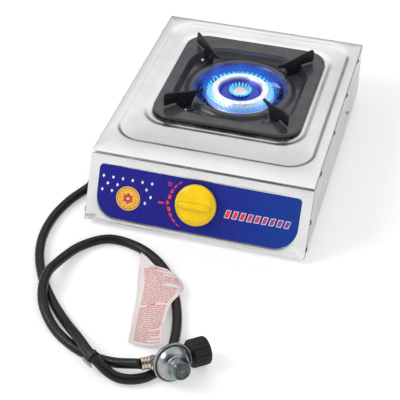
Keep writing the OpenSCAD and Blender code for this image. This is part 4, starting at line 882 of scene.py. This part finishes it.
def potSupports():
    foot = support["foot"]
    size = (foot["end"] - foot["start"], foot["width"], foot["thick"])
    for corner, bearing in support["corners"].items():
        bm = bmesh.new()
        addPlate(bm, support["outline"], support["thick"], support["roll"], support["rollSteps"])
        bmesh.ops.transform(bm, matrix=spin(90, "X"), verts=bm.verts)
        addBlock(bm, size, shift((foot["start"] + foot["end"]) / 2, foot["width"] / 2,
                                 support["seat"] + foot["thick"] / 2), support["bevel"])
        name = "potSupport" + corner.title().replace("_", "")
        piece = meshPiece(name, bm, "pan", "blackEnamel",
                          lay=shift(0, stove["wellY"], 0) @ spin(bearing, "Z"))
        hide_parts("pot_support_" + corner)


potSupports()

# The burner burns: a small flame at each port, a soft veil round the ring, and light in the well. parts are
# how far down the skirt its rows of ports lie, and flames are (length, radius)
burner = {"topZ": 97.0, "topRadius": 45.5, "footRadius": 56.0, "fall": 12.0, "ports": 40,
          "parts": (0.36, 0.63), "sunk": 0.6, "flame": (7.5, 1.5), "capFlame": (11, 1.7), "capRadius": 12.9,
          "capZ": 91.0, "capPorts": 18, "capWay": (0.8, 0.6), "longer": (0.85, 1.15), "wider": (0.9, 1.1),
          "seed": 7}


# a teardrop along a line that starts at the port and bends upward; t runs from its root to its tip
teardrop = {"sides": 8, "steps": 7, "slows": 0.35, "rises": 0.45, "root": 0.55, "belly": 1.5, "taper": 2.05,
            "tip": 0.05, "turns": (0.7, 0.9)}


def addFlame(bm, root, way, length, radius):
    side = way.cross(up).normalized()
    less, more = teardrop["turns"]
    rows = []
    for t in arcSteps(1, teardrop["steps"]):
        middle = (root + way * length * (t - teardrop["slows"] * t * t)
                  + up * length * teardrop["rises"] * t * t)
        wide = teardrop["root"] + teardrop["belly"] * t - teardrop["taper"] * t * t
        across = side.cross((way * (1 - less * t) + up * more * t).normalized())
        rows.append([middle + (radius * wide + teardrop["tip"]) * (math.cos(a) * side + math.sin(a) * across)
                     for a in around(teardrop["sides"])])
    addRows(bm, rows, ends=True)


def makeFlames():
    chance = random.Random(burner["seed"])
    middle = Vector((0, stove["wellY"], 0))
    flare = burner["footRadius"] - burner["topRadius"]
    skirt = math.atan2(burner["fall"], flare)
    length, radius = burner["flame"]
    bm = bmesh.new()
    for row, part in enumerate(burner["parts"]):
        for a in around(burner["ports"], row / 2):
            way = polar(math.sin(skirt), a, math.cos(skirt)).normalized()
            port = polar(burner["topRadius"] + flare * part, a, burner["topZ"] - burner["fall"] * part)
            addFlame(bm, middle + port - way * burner["sunk"], way,
                     length * chance.uniform(*burner["longer"]), radius * chance.uniform(*burner["wider"]))
    meshPiece("ringFlames", bm, "burner_ring", "flame", sharp=80)
    length, radius = burner["capFlame"]
    out, rise = burner["capWay"]
    bm = bmesh.new()
    for a in around(burner["capPorts"], 0.5):
        addFlame(bm, middle + polar(burner["capRadius"], a, burner["capZ"]), polar(out, a, rise).normalized(),
                 length * chance.uniform(*burner["longer"]), radius)
    meshPiece("capFlames", bm, "burner_cap", "capFlame", sharp=80)


# the veil is a closed ring with a lens-shaped section
veil = {"section": ((56.8, 87.5), (60.0, 90.0), (63.5, 94.5), (65.5, 100.0), (66.0, 103.0), (62.5, 101.0),
                    (58.5, 97.0), (56.8, 92.0)), "sides": 72}


def makeVeil():
    bm = bmesh.new()
    addLathe(bm, veil["section"], veil["sides"], close=True)
    meshPiece("flameVeil", bm, "burner_ring", "veil", sharp=80, lay=shift(0, stove["wellY"], 0))


makeFlames()
makeVeil()
print("burner lit")

# The yellow knob: a stepped dome with a low rounded bar, and a white dot at the bar's left end. The bar's
# section is a blunt arch on a flat base, and it swells from its ends to its middle
knob = {"drop": 54, "out": 5.5, "half": 25.5, "width": 5.4, "height": 9.2, "base": 8.6, "sunk": 2,
        "lengthSteps": 28, "archSteps": 16, "baseSteps": 4, "endWidth": 0.35, "swell": (4.5, 0.5),
        "sag": 0.12, "blunt": (0.75, 0.62),
        "profile": [(0, 10.0), (12, 9.8, 6), (25.2, 8.7, 2.2), (26.9, 6.7, 1.0), (28.2, 5.9, 0.9),
                    (30.4, 4.9, 1.4), (31.5, 1.4, 0.9), (31.5, 0, 0.4), (29.4, 0, 0.3), (27.8, 4, 1.0),
                    (7.5, 4.6, 1), (7.5, -3, 0.5), (4.2, -3, 0.3), (4.2, 5.4, 0.3), (0, 5.4)],
        "dot": [(0, 6.4), (0.9, 6.4), (0.9, 7.3), (0.54, 7.75), (0, 7.9)], "dotAt": -26.6, "dotSides": 20}


# the bar's section at t, from -1 at one end to 1 at the other
def barSection(t):
    power, root = knob["swell"]
    swell = max(0.0, 1 - abs(t) ** power) ** root
    wide = knob["width"] * (knob["endWidth"] + (1 - knob["endWidth"]) * swell)
    high = knob["height"] * swell * (1 - knob["sag"] * t * t)
    flat, tall = knob["blunt"]
    section = []
    for a in arcSteps(math.pi, knob["archSteps"]):
        c = math.cos(a)
        section.append(Vector((knob["half"] * t, wide * math.copysign(abs(c) ** flat, c),
                               knob["base"] + high * math.sin(a) ** tall)))
    return section + [Vector((knob["half"] * t, wide * (2 * s - 1), knob["base"] - knob["sunk"]))
                      for s in arcSteps(1, knob["baseSteps"])]


def yellowKnob():
    onKnob = onFace(0, knob["drop"], knob["out"])
    bm = bmesh.new()
    addLathe(bm, rounded(knob["profile"]))
    addRows(bm, [barSection(2 * t - 1) for t in arcSteps(1, knob["lengthSteps"])], ends=True)
    piece = meshPiece("yellowKnob", bm, "knob", "knob", sharp=50, lay=onKnob)
    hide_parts("knob")
    bm = bmesh.new()
    addLathe(bm, knob["dot"], knob["dotSides"])
    meshPiece("knobDot", bm, "knob", "whiteInk", lay=onKnob @ shift(knob["dotAt"], 0, 0))


yellowKnob()

# The fascia's prints lie a hair above the blue sheet, in its own plane: x across and v down the slope
printing = {"low": -0.5, "high": -0.36, "layer": 0.04}
diamonds = {"rows": 4, "columns": 7, "at": (-147, 35.5), "pitch": (15.2, 10.4), "half": (2.1, 2.8),
            "end": (-57, 6.5), "clear": 24}
badge = {"at": (-105.4, 64.1), "radius": 18.6, "ring": (16.6, 15.9), "dots": (16, 12.8, 1.1), "petals": 6,
         "petal": [(0, -1.2), (2.4, -4.4), (2.0, -7.6), (0, -9.4), (-2.0, -7.6), (-2.4, -4.4)],
         "leaf": (0.55, 0.8), "eye": 1.7}
dial = {"at": (-2, 57), "radius": 40.5, "marks": 9, "from": 130, "step": 13.2, "width": (0.8, 2.4),
        "tall": 3.6, "short": 0.8, "lozenge": 3.8, "lozengeOut": 2.0, "off": (-43.5, 30.5, 3.0, 1.9),
        "full": (-58.5, 59.6, 8.0, 2.6)}
wordBars = {"count": 9, "at": (48.5, 59.8), "pitch": 11.2, "half": (3.0, 5.6), "shorter": 0.1, "slant": 1.6,
            "edge": 0.75}


def swung(points, angle, x, v):
    cosine, sine = math.cos(angle), math.sin(angle)
    return [(x + cosine * a - sine * b, v + sine * a + cosine * b) for a, b in points]


def disc(x, v, r, sides=48):
    return [(x + r * math.cos(a), v + r * math.sin(a)) for a in around(sides)]


def printMesh(name, look, shapes, layer=0):
    bm = bmesh.new()
    high = printing["high"] + layer * printing["layer"]
    for outline in shapes:
        addRows(bm, [[Vector((x, -v, z)) for x, v in outline] for z in (printing["low"], high)], ends=True)
    bmesh.ops.recalc_face_normals(bm, faces=bm.faces)
    meshPiece(name, bm, "casing", look, lay=faceFrame)


# rows of small diamonds that leave room for the badge and run out along a slant
def printDiamonds():
    bx, bv = badge["at"]
    (dx, dv), (w, h), (endX, slope) = diamonds["pitch"], diamonds["half"], diamonds["end"]
    shapes = []
    for row in range(diamonds["rows"]):
        for column in range(diamonds["columns"]):
            x, v = diamonds["at"][0] + dx * (column + row % 2 / 2), diamonds["at"][1] + dv * row
            lowest = row == diamonds["rows"] - 1 and column == 0
            if x < endX - slope * row and math.hypot(x - bx, v - bv) > diamonds["clear"] and not lowest:
                shapes.append([(x - w, v), (x, v - h), (x + w, v), (x, v + h)])
    printMesh("printDiamonds", "whiteInk", shapes)


# a round badge with a plain flower and a ring of dots
def printBadge():
    bx, bv = badge["at"]
    printMesh("printBadge", "yellowInk", [disc(bx, bv, badge["radius"])])
    printMesh("printBadgeRing", "darkInk", [disc(bx, bv, badge["ring"][0])], 1)
    printMesh("printBadgeField", "yellowInk", [disc(bx, bv, badge["ring"][1])], 2)
    count, away, r = badge["dots"]
    dots = [disc(bx + away * math.cos(a), bv + away * math.sin(a), r, 16) for a in around(count)]
    petals = [swung(badge["petal"], a, bx, bv) for a in around(badge["petals"])]
    printMesh("printBadgeRed", "redInk", dots[::2] + petals, 3)
    narrow, low = badge["leaf"]
    leaf = [(a * narrow, b * low) for a, b in badge["petal"]]
    leaves = [swung(leaf, a, bx, bv) for a in around(badge["petals"], 0.5)]
    printMesh("printBadgeGreen", "greenInk", dots[1::2] + leaves, 3)
    printMesh("printBadgeEye", "whiteInk", [disc(bx, bv, badge["eye"], 20)], 4)


# the flame scale round the knob: marks that grow toward the middle, and a lozenge there
def printScale():
    cx, cv = dial["at"]
    middle, tall, short = (dial["marks"] - 1) / 2, dial["tall"], dial["short"]
    marks = []
    for k in range(dial["marks"]):
        a = math.radians(dial["from"] + dial["step"] * k)
        wide = dial["width"][0] + dial["width"][1] * (1 - abs(k - middle) / middle)
        shape = [(-wide, -tall), (wide * short, -tall * short), (wide, tall * short), (-wide * short, tall)]
        r = dial["radius"]
        if k == middle:
            shape = [(-wide, 0), (0, -dial["lozenge"]), (wide, 0), (0, dial["lozenge"])]
            r += dial["lozengeOut"]
        marks.append(swung(shape, math.pi - a, cx + r * math.cos(a), cv - r * math.sin(a)))
    # a ring where the tap is shut and a bar where it is full on
    x, v, outer, inner = dial["off"]
    left, top, w, h = dial["full"]
    marks += [disc(x, v, outer, 24), [(left, top), (left + w, top), (left + w, top + h), (left, top + h)]]
    printMesh("printScale", "redInk", marks)
    printMesh("printRingHole", "fascia", [disc(x, v, inner, 24)], 1)


# slanted bars from red to violet with white edges stand in for words
def printBars():
    bars, edges = [], []
    lean = wordBars["slant"]
    for k in range(wordBars["count"]):
        x, v = wordBars["at"][0] + wordBars["pitch"] * k, wordBars["at"][1]
        for shapes, grow in ((bars, 0), (edges, wordBars["edge"])):
            w, h = wordBars["half"][0] + grow, wordBars["half"][1] - wordBars["shorter"] * k + grow
            shapes.append([(x - w + lean, v - h), (x + w + lean, v - h), (x + w - lean, v + h),
                           (x - w - lean, v + h)])
    printMesh("printBarEdges", "whiteInk", edges)
    printMesh("printBars", "fadeInk", bars, 1.25)


printDiamonds()
printBadge()
printScale()
printBars()
print("knob and fascia made")

# The regulator's pressed bonnet, its cap and the black coupling wheel. Above coneFrom the bonnet is darker;
# the cap is dark with paler raised marks, and its rim is painted paler as a painted highlight
bonnet = {"profile": [(24.5, -4.5), (27.1, -4.5, 0.8), (27.5, -3.6, 0.8), (27.5, -0.9, 0.6), (26.8, 0.1, 0.5),
                      (25.9, 0.1, 0.4), (25.4, -0.8, 0.3), (24.5, -0.8, 0.3), (24.1, 0.9, 0.5),
                      (23.5, 3.0, 1.5), (21.9, 6.5, 2), (19.7, 9.8, 2), (17.5, 12.0, 1.2), (16.8, 12.4, 0.4),
                      (16.5, 13.1, 0.4), (16.5, 15.0, 0.8), (15.4, 15.8, 0.8), (14.9, 16.2, 0.4),
                      (13.4, 23.0, 0.8), (12.6, 26.4, 0.3), (11, 26.4, 0.3), (11, 19, 0.4), (9.6, 17, 0.4),
                      (14.5, 11.3, 1), (18.0, 8, 1), (20.7, 3.5, 1), (21.5, -2, 0.5), (26.3, -2, 0.3),
                      (26.3, -3.9, 0.3), (24.5, -3.9, 0.2)],
          "coneFrom": 15.6, "groovePaintedShade": [(24.2, -1.2), (25.6, -1.2), (25.6, -0.4), (24.2, -0.4)]}
cap = {"profile": [(0, 27.5), (8.6, 27.5, 0.3), (9.0, 28.1, 0.3), (9.8, 28.4, 0.4), (11.3, 28.4, 0.5),
                   (12.1, 27.7, 0.6), (12.1, 26.7, 0.3), (10.9, 26.6, 0.2), (10.9, 19.1, 0.4), (0, 19.1)],
       "z": 27.6, "dots": 12, "dotsAt": 6.6, "dot": (1.1, 1.1, 0.7), "dotBevel": 0.25,
       "crosses": ((7.5, 1.4, 0.7), (1.4, 7.5, 0.7)), "crossBevel": 0.3, "marksFrom": (27.8, 9),
       "paintedRimHighlightFrom": (27, 11.3)}
wheel = {"radius": 19.5, "start": 28.8, "flutes": 16, "fluteSides": 10, "depth": 1.25, "sharpness": 1.8,
         "outside": ((0, 2.2, 0), (0.5, 1.0, 0.35), (1.6, 0.25, 0.85), (3.2, 0, 1), (12.5, 0, 1),
                     (21.6, 0, 1), (23.4, 0.25, 0.85), (24.5, 0.9, 0.35), (25, 2.0, 0)),
         "inside": ((17.0, 25), (16.7, 24.5), (16.7, 3.0), (6.0, 3.0), (6.0, 0.0))}


# gives the cone's plate to the faces that the test picks by their height and reach on the regulator
def plateFaces(piece, test):
    piece.data.materials.append(finish["conePlate"])
    back = onRegulator.inverted()
    for face in piece.data.polygons:
        at = (back @ face.center) / mm
        face.material_index = int(test(at.z, math.hypot(at.x, at.y)))


def bonnetShell():
    bm = bmesh.new()
    addLathe(bm, rounded(bonnet["profile"]), close=True)
    weld(bm)
    piece = meshPiece("bonnetShell", bm, "casing", "bonnetPlate", sharp=50, lay=onRegulator)
    plateFaces(piece, lambda z, out: z > bonnet["coneFrom"])
    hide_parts("regulator_bonnet")
    # a dark ring in the groove at the dome's foot: painted shade of the groove
    bm = bmesh.new()
    addLathe(bm, bonnet["groovePaintedShade"], close=True)
    meshPiece("bonnetGroovePaintedShade", bm, "casing", "rubberAndPaintedShade", lay=onRegulator)


# the cap has raised dots and a cross for a tool, in place of lettering
def capShell():
    bm = bmesh.new()
    addLathe(bm, rounded(cap["profile"]))
    for a in around(cap["dots"]):
        at = Matrix.Translation(polar(cap["dotsAt"], a, cap["z"]) * mm) @ Matrix.Rotation(a, 4, "Z")
        addBlock(bm, cap["dot"], at, cap["dotBevel"])
    for size in cap["crosses"]:
        addBlock(bm, size, shift(0, 0, cap["z"]), cap["crossBevel"])
    piece = meshPiece("capShell", bm, "casing", "capPlate", sharp=50, lay=onRegulator)
    (marksZ, marksOut), (rimZ, rimOut) = cap["marksFrom"], cap["paintedRimHighlightFrom"]
    # the raised marks get the paler plate, and the rim's outer rounding gets it as a painted highlight
    plateFaces(piece, lambda z, out: z > marksZ and out < marksOut or z > rimZ and out > rimOut)
    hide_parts("regulator_cap")


# outside rows are (length along, inset, share of the flutes' depth), inside rows (radius, length along)
def couplingWheel():
    bm = bmesh.new()
    angles = around(wheel["flutes"] * wheel["fluteSides"])
    rows = []
    for z, inset, bite in wheel["outside"]:
        wave = [(0.5 - 0.5 * math.cos(a * wheel["flutes"])) ** wheel["sharpness"] for a in angles]
        rows.append([polar(wheel["radius"] - inset - wheel["depth"] * w * bite, a, wheel["start"] + z)
                     for a, w in zip(angles, wave)])
    rows += [[polar(r, a, wheel["start"] + z) for a in angles] for r, z in wheel["inside"]]
    addRows(bm, rows + rows[:1])
    weld(bm)
    bmesh.ops.recalc_face_normals(bm, faces=bm.faces)
    piece = meshPiece("couplingWheel", bm, "coupling", "wheelPlastic", sharp=40, lay=onInlet)
    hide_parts("coupling_wheel")


bonnetShell()
capShell()
couplingWheel()
print("regulator made")

# the hose: the same points as the construction, in metres
hose = {"bore": 0.014, "length": 1.89, "spans": 8, "turns": 12, "past": 30,
        "exit": (-0.063, 0.241, 0.0452), "start": (-0.063, 0.267, 0.0452)}
hosePoints = [
    (-0.063, 0.290, 0.042), (-0.080, 0.331, 0.031), (-0.121, 0.348, 0.021), (-0.162, 0.331, 0.012),
    (-0.179, 0.290, 0.0075), (-0.180, 0.245, 0.007), (-0.180, 0.150, 0.007), (-0.179, 0.060, 0.007),
    (-0.178, -0.040, 0.007), (-0.180, -0.112, 0.007), (-0.190, -0.157, 0.007), (-0.207, -0.198, 0.007),
    (-0.217, -0.243, 0.007), (-0.216, -0.292, 0.007), (-0.203, -0.338, 0.007), (-0.180, -0.382, 0.007),
    (-0.151, -0.421, 0.0075), (-0.119, -0.456, 0.011), (-0.088, -0.489, 0.0205), (-0.057, -0.518, 0.022),
    (-0.019, -0.534, 0.0105), (0.016, -0.522, 0.0075), (0.035, -0.488, 0.007), (0.034, -0.444, 0.007),
    (0.024, -0.398, 0.007), (0.004, -0.350, 0.007), (-0.025, -0.307, 0.007), (-0.068, -0.277, 0.007),
    (-0.117, -0.270, 0.0075), (-0.152, -0.296, 0.008), (-0.169, -0.342, 0.014), (-0.173, -0.388, 0.0216),
    (-0.161, -0.432, 0.016), (-0.133, -0.467, 0.008), (-0.098, -0.492, 0.007), (-0.064, -0.505, 0.0072),
    (-0.028, -0.513, 0.0135)]


# a smooth line through the points, nowhere lower than the floor lets it lie
def hoseLine():
    end, beyond = (onOutlet @ (Vector((0, 0, regulator["outletRun"] + past)) * mm)
                   for past in (0, hose["past"]))
    route = [Vector(hose["start"])] + [Vector(p) for p in hosePoints] + [end]
    held = [2 * route[0] - route[1]] + route + [beyond]
    line = []
    for p, q, r, s in zip(held, held[1:], held[2:], held[3:]):
        for t in arcSteps(1, hose["spans"])[:-1]:
            spot = 0.5 * (2 * q + t * (r - p) + t * t * (2 * p - 5 * q + 4 * r - s)
                          + t ** 3 * (3 * q - p - 3 * r + s))
            spot.z = max(spot.z, hose["bore"] / 2)
            line.append(spot)
    return line + [end]


def rubberHose():
    line = hoseLine()
    data = bpy.data.curves.new("hoseLine", "CURVE")
    data.dimensions = "3D"
    data.bevel_depth = hose["bore"] / 2
    data.bevel_resolution = hose["turns"]
    data.use_fill_caps = True
    spline = data.splines.new("POLY")
    spline.points.add(len(line) - 1)
    for point, spot in zip(spline.points, line):
        point.co = (*spot, 1)
    spline.use_smooth = True
    data.materials.append(finish["hoseRubber"])
    piece = bpy.data.objects.new("rubberHose", data)
    scene.collection.objects.link(piece)
    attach(piece, "casing")
    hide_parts("hose")
    return piece


# The tag: a film between two edges, laid on the floor and over the hose that passes under it. The hump over
# the hose rises and falls across the ridge, ripple is of x, y, a swing and how slow it is, and edges curl up
# by (height, power)
tag = {"left": ((-62, -290), (-57, -314), (-45, -362), (-34, -421), (-25, -466)),
       "right": ((-50, -301), (-32, -317), (-14, -319), (2, -327), (14, -336), (19, -347), (17, -368),
                 (12, -382), (12, -400), (15, -435), (23, -462)),
       "ridge": ((-25, -307), (24, -398)), "top": 14.6, "rest": 0.25, "rise": (32, 22), "fall": (-11, 40),
       "wave": 1.3, "ripple": (0.11, -0.09, 1.2, 0.05), "endCurl": (3.0, 6), "sideCurl": (2.5, 8),
       "thick": 0.3, "rows": 48, "columns": 20}
tagText = {"lines": 44, "start": 0.16, "end": 0.97, "margin": (0.14, 0.9), "headings": (0, 22),
           "indent": (0.2, 0.3), "shorter": (0.25, 0.1, 0.5), "word": (0.06, 0.22), "space": 0.018,
           "least": 0.02, "piece": 0.05, "tall": 0.55, "lift": 0.25, "seed": 11}


# the place on an edge at the fraction t of its reach along the tag
def alongEdge(points, t):
    spots = [Vector(p) for p in points]
    down = (Vector(tag["left"][-1]) - Vector(tag["left"][0])).normalized()
    steps = [(b - a).dot(down) for a, b in zip(spots, spots[1:])]
    want = t * sum(steps)
    for a, b, step in zip(spots, spots[1:], steps):
        if want <= step:
            return a.lerp(b, want / step)
        want -= step
    return spots[-1]


def onTag(u, v, lift=0.0):
    spot = alongEdge(tag["left"], v).lerp(alongEdge(tag["right"], v), u)
    first, last = (Vector(p) for p in tag["ridge"])
    run = (last - first).normalized()
    across = (spot - first).dot(Vector((-run.y, run.x)))
    rise, fall = (ease(max(0.0, min(1.0, (start - across) / width)))
                  for start, width in (tag["rise"], tag["fall"]))
    alongX, alongY, swing, slow = tag["ripple"]
    wave = 0.5 + 0.5 * math.sin(alongX * spot.x + alongY * spot.y + swing * math.sin(slow * spot.y))
    curl = tag["endCurl"][0] * v ** tag["endCurl"][1] + tag["sideCurl"][0] * (1 - u) ** tag["sideCurl"][1]
    hump = (tag["top"] - tag["rest"]) * (rise - fall)
    return Vector((*spot, tag["rest"] + hump + tag["wave"] * wave + curl + lift))


def tagFilm():
    bm = bmesh.new()
    rows, columns = arcSteps(1, tag["rows"]), arcSteps(1, tag["columns"])
    addRows(bm, [[onTag(u, v) for u in columns] for v in rows], closed=False)
    piece = meshPiece("tagFilm", bm, "casing", "tagFilm", sharp=80)
    thicken(piece, tag["thick"], 0)
    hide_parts("warning_tag")


# plain bars in rows, two of them headings, in place of small print
def tagPrint():
    bars = {"tagInk": bmesh.new(), "redInk": bmesh.new()}
    chance = random.Random(tagText["seed"])
    low, high = tagText["margin"]
    share, least, most = tagText["shorter"]
    step = (tagText["end"] - tagText["start"]) / tagText["lines"]
    for line in range(tagText["lines"]):
        v = tagText["start"] + line * step
        heading = line in tagText["headings"]
        before, after = tagText["indent"] if heading else (0, 0)
        u, end = low + before, high - after - (chance.random() < share) * chance.uniform(least, most)
        while u < end:
            width = min(end - u, chance.uniform(*tagText["word"]))
            parts = arcSteps(width, max(1, round(width / tagText["piece"])))
            if width > tagText["least"]:
                addRows(bars["redInk" if heading else "tagInk"],
                        [[onTag(u + part, v + down * step, tagText["lift"]) for down in (0, tagText["tall"])]
                         for part in parts], closed=False)
            u += width + tagText["space"]
    for look, bm in bars.items():
        meshPiece("tagPrint_" + look, bm, "casing", look, sharp=80)


tagFilm()
tagPrint()
hosePiece = rubberHose()
print("hose laid")

# the floor, white to the camera and in reflections, which keeps the shadows; it has no glow under the stove
stage = {"size": 8.0, "albedo": 0.82, "glow": 0.32, "underStove": (0.166, 0.2), "fade": (0.9, 2.2)}


def makeFloor():
    bm = bmesh.new()
    bmesh.ops.create_grid(bm, x_segments=1, y_segments=1, size=stage["size"] / 2)
    data = bpy.data.meshes.new("floor")
    bm.to_mesh(data)
    bm.free()
    floor = bpy.data.objects.new("floor", data)
    scene.collection.objects.link(floor)
    material = bpy.data.materials.new("floor_white")
    material.use_nodes = True
    tree = material.node_tree
    tree.nodes.clear()
    rays = addNode(tree, "LightPath").outputs
    seen = calc(tree, "MAXIMUM", rays["Is Camera Ray"], rays["Is Glossy Ray"])
    seen = calc(tree, "MAXIMUM", seen, rays["Is Transmission Ray"])
    beside = [calc(tree, "GREATER_THAN", calc(tree, "ABSOLUTE", objectAxis(tree, way)), half)
              for way, half in zip("XY", stage["underStove"])]
    glow = calc(tree, "MULTIPLY", seen, calc(tree, "MAXIMUM", *beside))
    matt = addNode(tree, "BsdfDiffuse", {"Color": (*(stage["albedo"],) * 3, 1)})
    light = addNode(tree, "Emission", {"Strength": calc(tree, "MULTIPLY", glow, stage["glow"])})
    both = addNode(tree, "AddShader", {0: matt.outputs[0], 1: light.outputs[0]})
    # far off the floor melts into the backdrop
    away = vectorMath(tree, "LENGTH", objectPlace(tree))["Value"]
    gone = calc(tree, "MULTIPLY", remap(tree, away, *stage["fade"], smooth=True), seen)
    white = addNode(tree, "Emission")
    fading = addNode(tree, "MixShader", {0: gone, 1: both.outputs[0], 2: white.outputs[0]})
    addNode(tree, "OutputMaterial", {"Surface": fading.outputs[0]})
    data.materials.append(material)


# The backdrop: white to the camera. What shines sees a studio of its own, dark high in front and low behind
# the stove, which draws the creases of the bright sheet. Ranges are of a direction's Y or Z, then the
# brightness from one end to the other
studio = {"behind": (0.24, 0.66, 0.18, 1.4), "toBehind": (-0.3, 0.3), "front": 1.2, "frontEnds": (-0.2, 0.2),
          "high": (0.35, 0.55), "roof": (0.88, 0.08), "matt": 0.5}


def makeWorld():
    world = bpy.data.worlds.new("studio")
    world.use_nodes = True
    tree = world.node_tree
    rays = addNode(tree, "LightPath").outputs
    way = addNode(tree, "SeparateXYZ", {0: addNode(tree, "TexCoord").outputs["Generated"]}).outputs
    behind = remap(tree, way["Z"], *studio["behind"], smooth=True)
    shade = mixValue(tree, remap(tree, way["Y"], *studio["toBehind"]), studio["front"], behind)
    front = remap(tree, way["Y"], *studio["frontEnds"], 1.0, 0.0, smooth=True)
    awning = calc(tree, "MULTIPLY", front, remap(tree, way["Z"], *studio["high"], smooth=True))
    tone = calc(tree, "MULTIPLY", shade, remap(tree, awning, 0.0, 1.0, *studio["roof"]))
    soft = mixValue(tree, rays["Is Glossy Ray"], studio["matt"], tone)
    plain = calc(tree, "MAXIMUM", rays["Is Camera Ray"], rays["Is Transmission Ray"])
    back = tree.nodes["Background"]
    back.inputs["Color"].default_value = (1, 1, 1, 1)
    tree.links.new(mixValue(tree, plain, soft, 1.0), back.inputs["Strength"])
    scene.world = world


# Soft lamps: place and aim in metres, size in metres, power in watts. One that shines shows in bright metal
lamps = {
    "keyLamp": {"place": (-1.5, -0.8, 1.5), "aim": (0, 0, 0.05), "size": 1.1, "power": 18, "shines": True},
    "fillLamp": {"place": (0.9, -1.8, 1.1), "aim": (0, -0.1, 0.05), "size": 1.4, "power": 14,
                 "shines": False},
    "backLamp": {"place": (0.3, 1.6, 1.5), "aim": (0, 0, 0.05), "size": 1.0, "power": 8, "shines": False},
}
# small blue lights in the well, in a ring round the burner
flameLight = {"count": 12, "radius": 61, "z": 98, "power": 0.07, "colour": (0.05, 0.16, 1.0), "size": 0.006}


def addLamp(name, kind, power, at, shines):
    data = bpy.data.lights.new(name, kind)
    data.energy = power
    piece = bpy.data.objects.new(name, data)
    piece.matrix_world = at
    piece.visible_glossy = shines
    scene.collection.objects.link(piece)
    return data


def makeLamps():
    for k, a in enumerate(around(flameLight["count"], 0.5)):
        spot = Vector((0, stove["wellY"], 0)) + polar(flameLight["radius"], a, flameLight["z"])
        data = addLamp("flameLight%d" % k, "POINT", flameLight["power"], shift(*spot), False)
        data.color, data.shadow_soft_size = flameLight["colour"], flameLight["size"]
    for name, lamp in lamps.items():
        aim = Vector(lamp["aim"]) - Vector(lamp["place"])
        turn = aim.to_track_quat("-Z", "Y").to_matrix().to_4x4()
        data = addLamp(name, "AREA", lamp["power"], Matrix.Translation(lamp["place"]) @ turn, lamp["shines"])
        data.shape, data.size = "DISK", lamp["size"]


makeFloor()
makeWorld()
makeLamps()
print("stage lit")
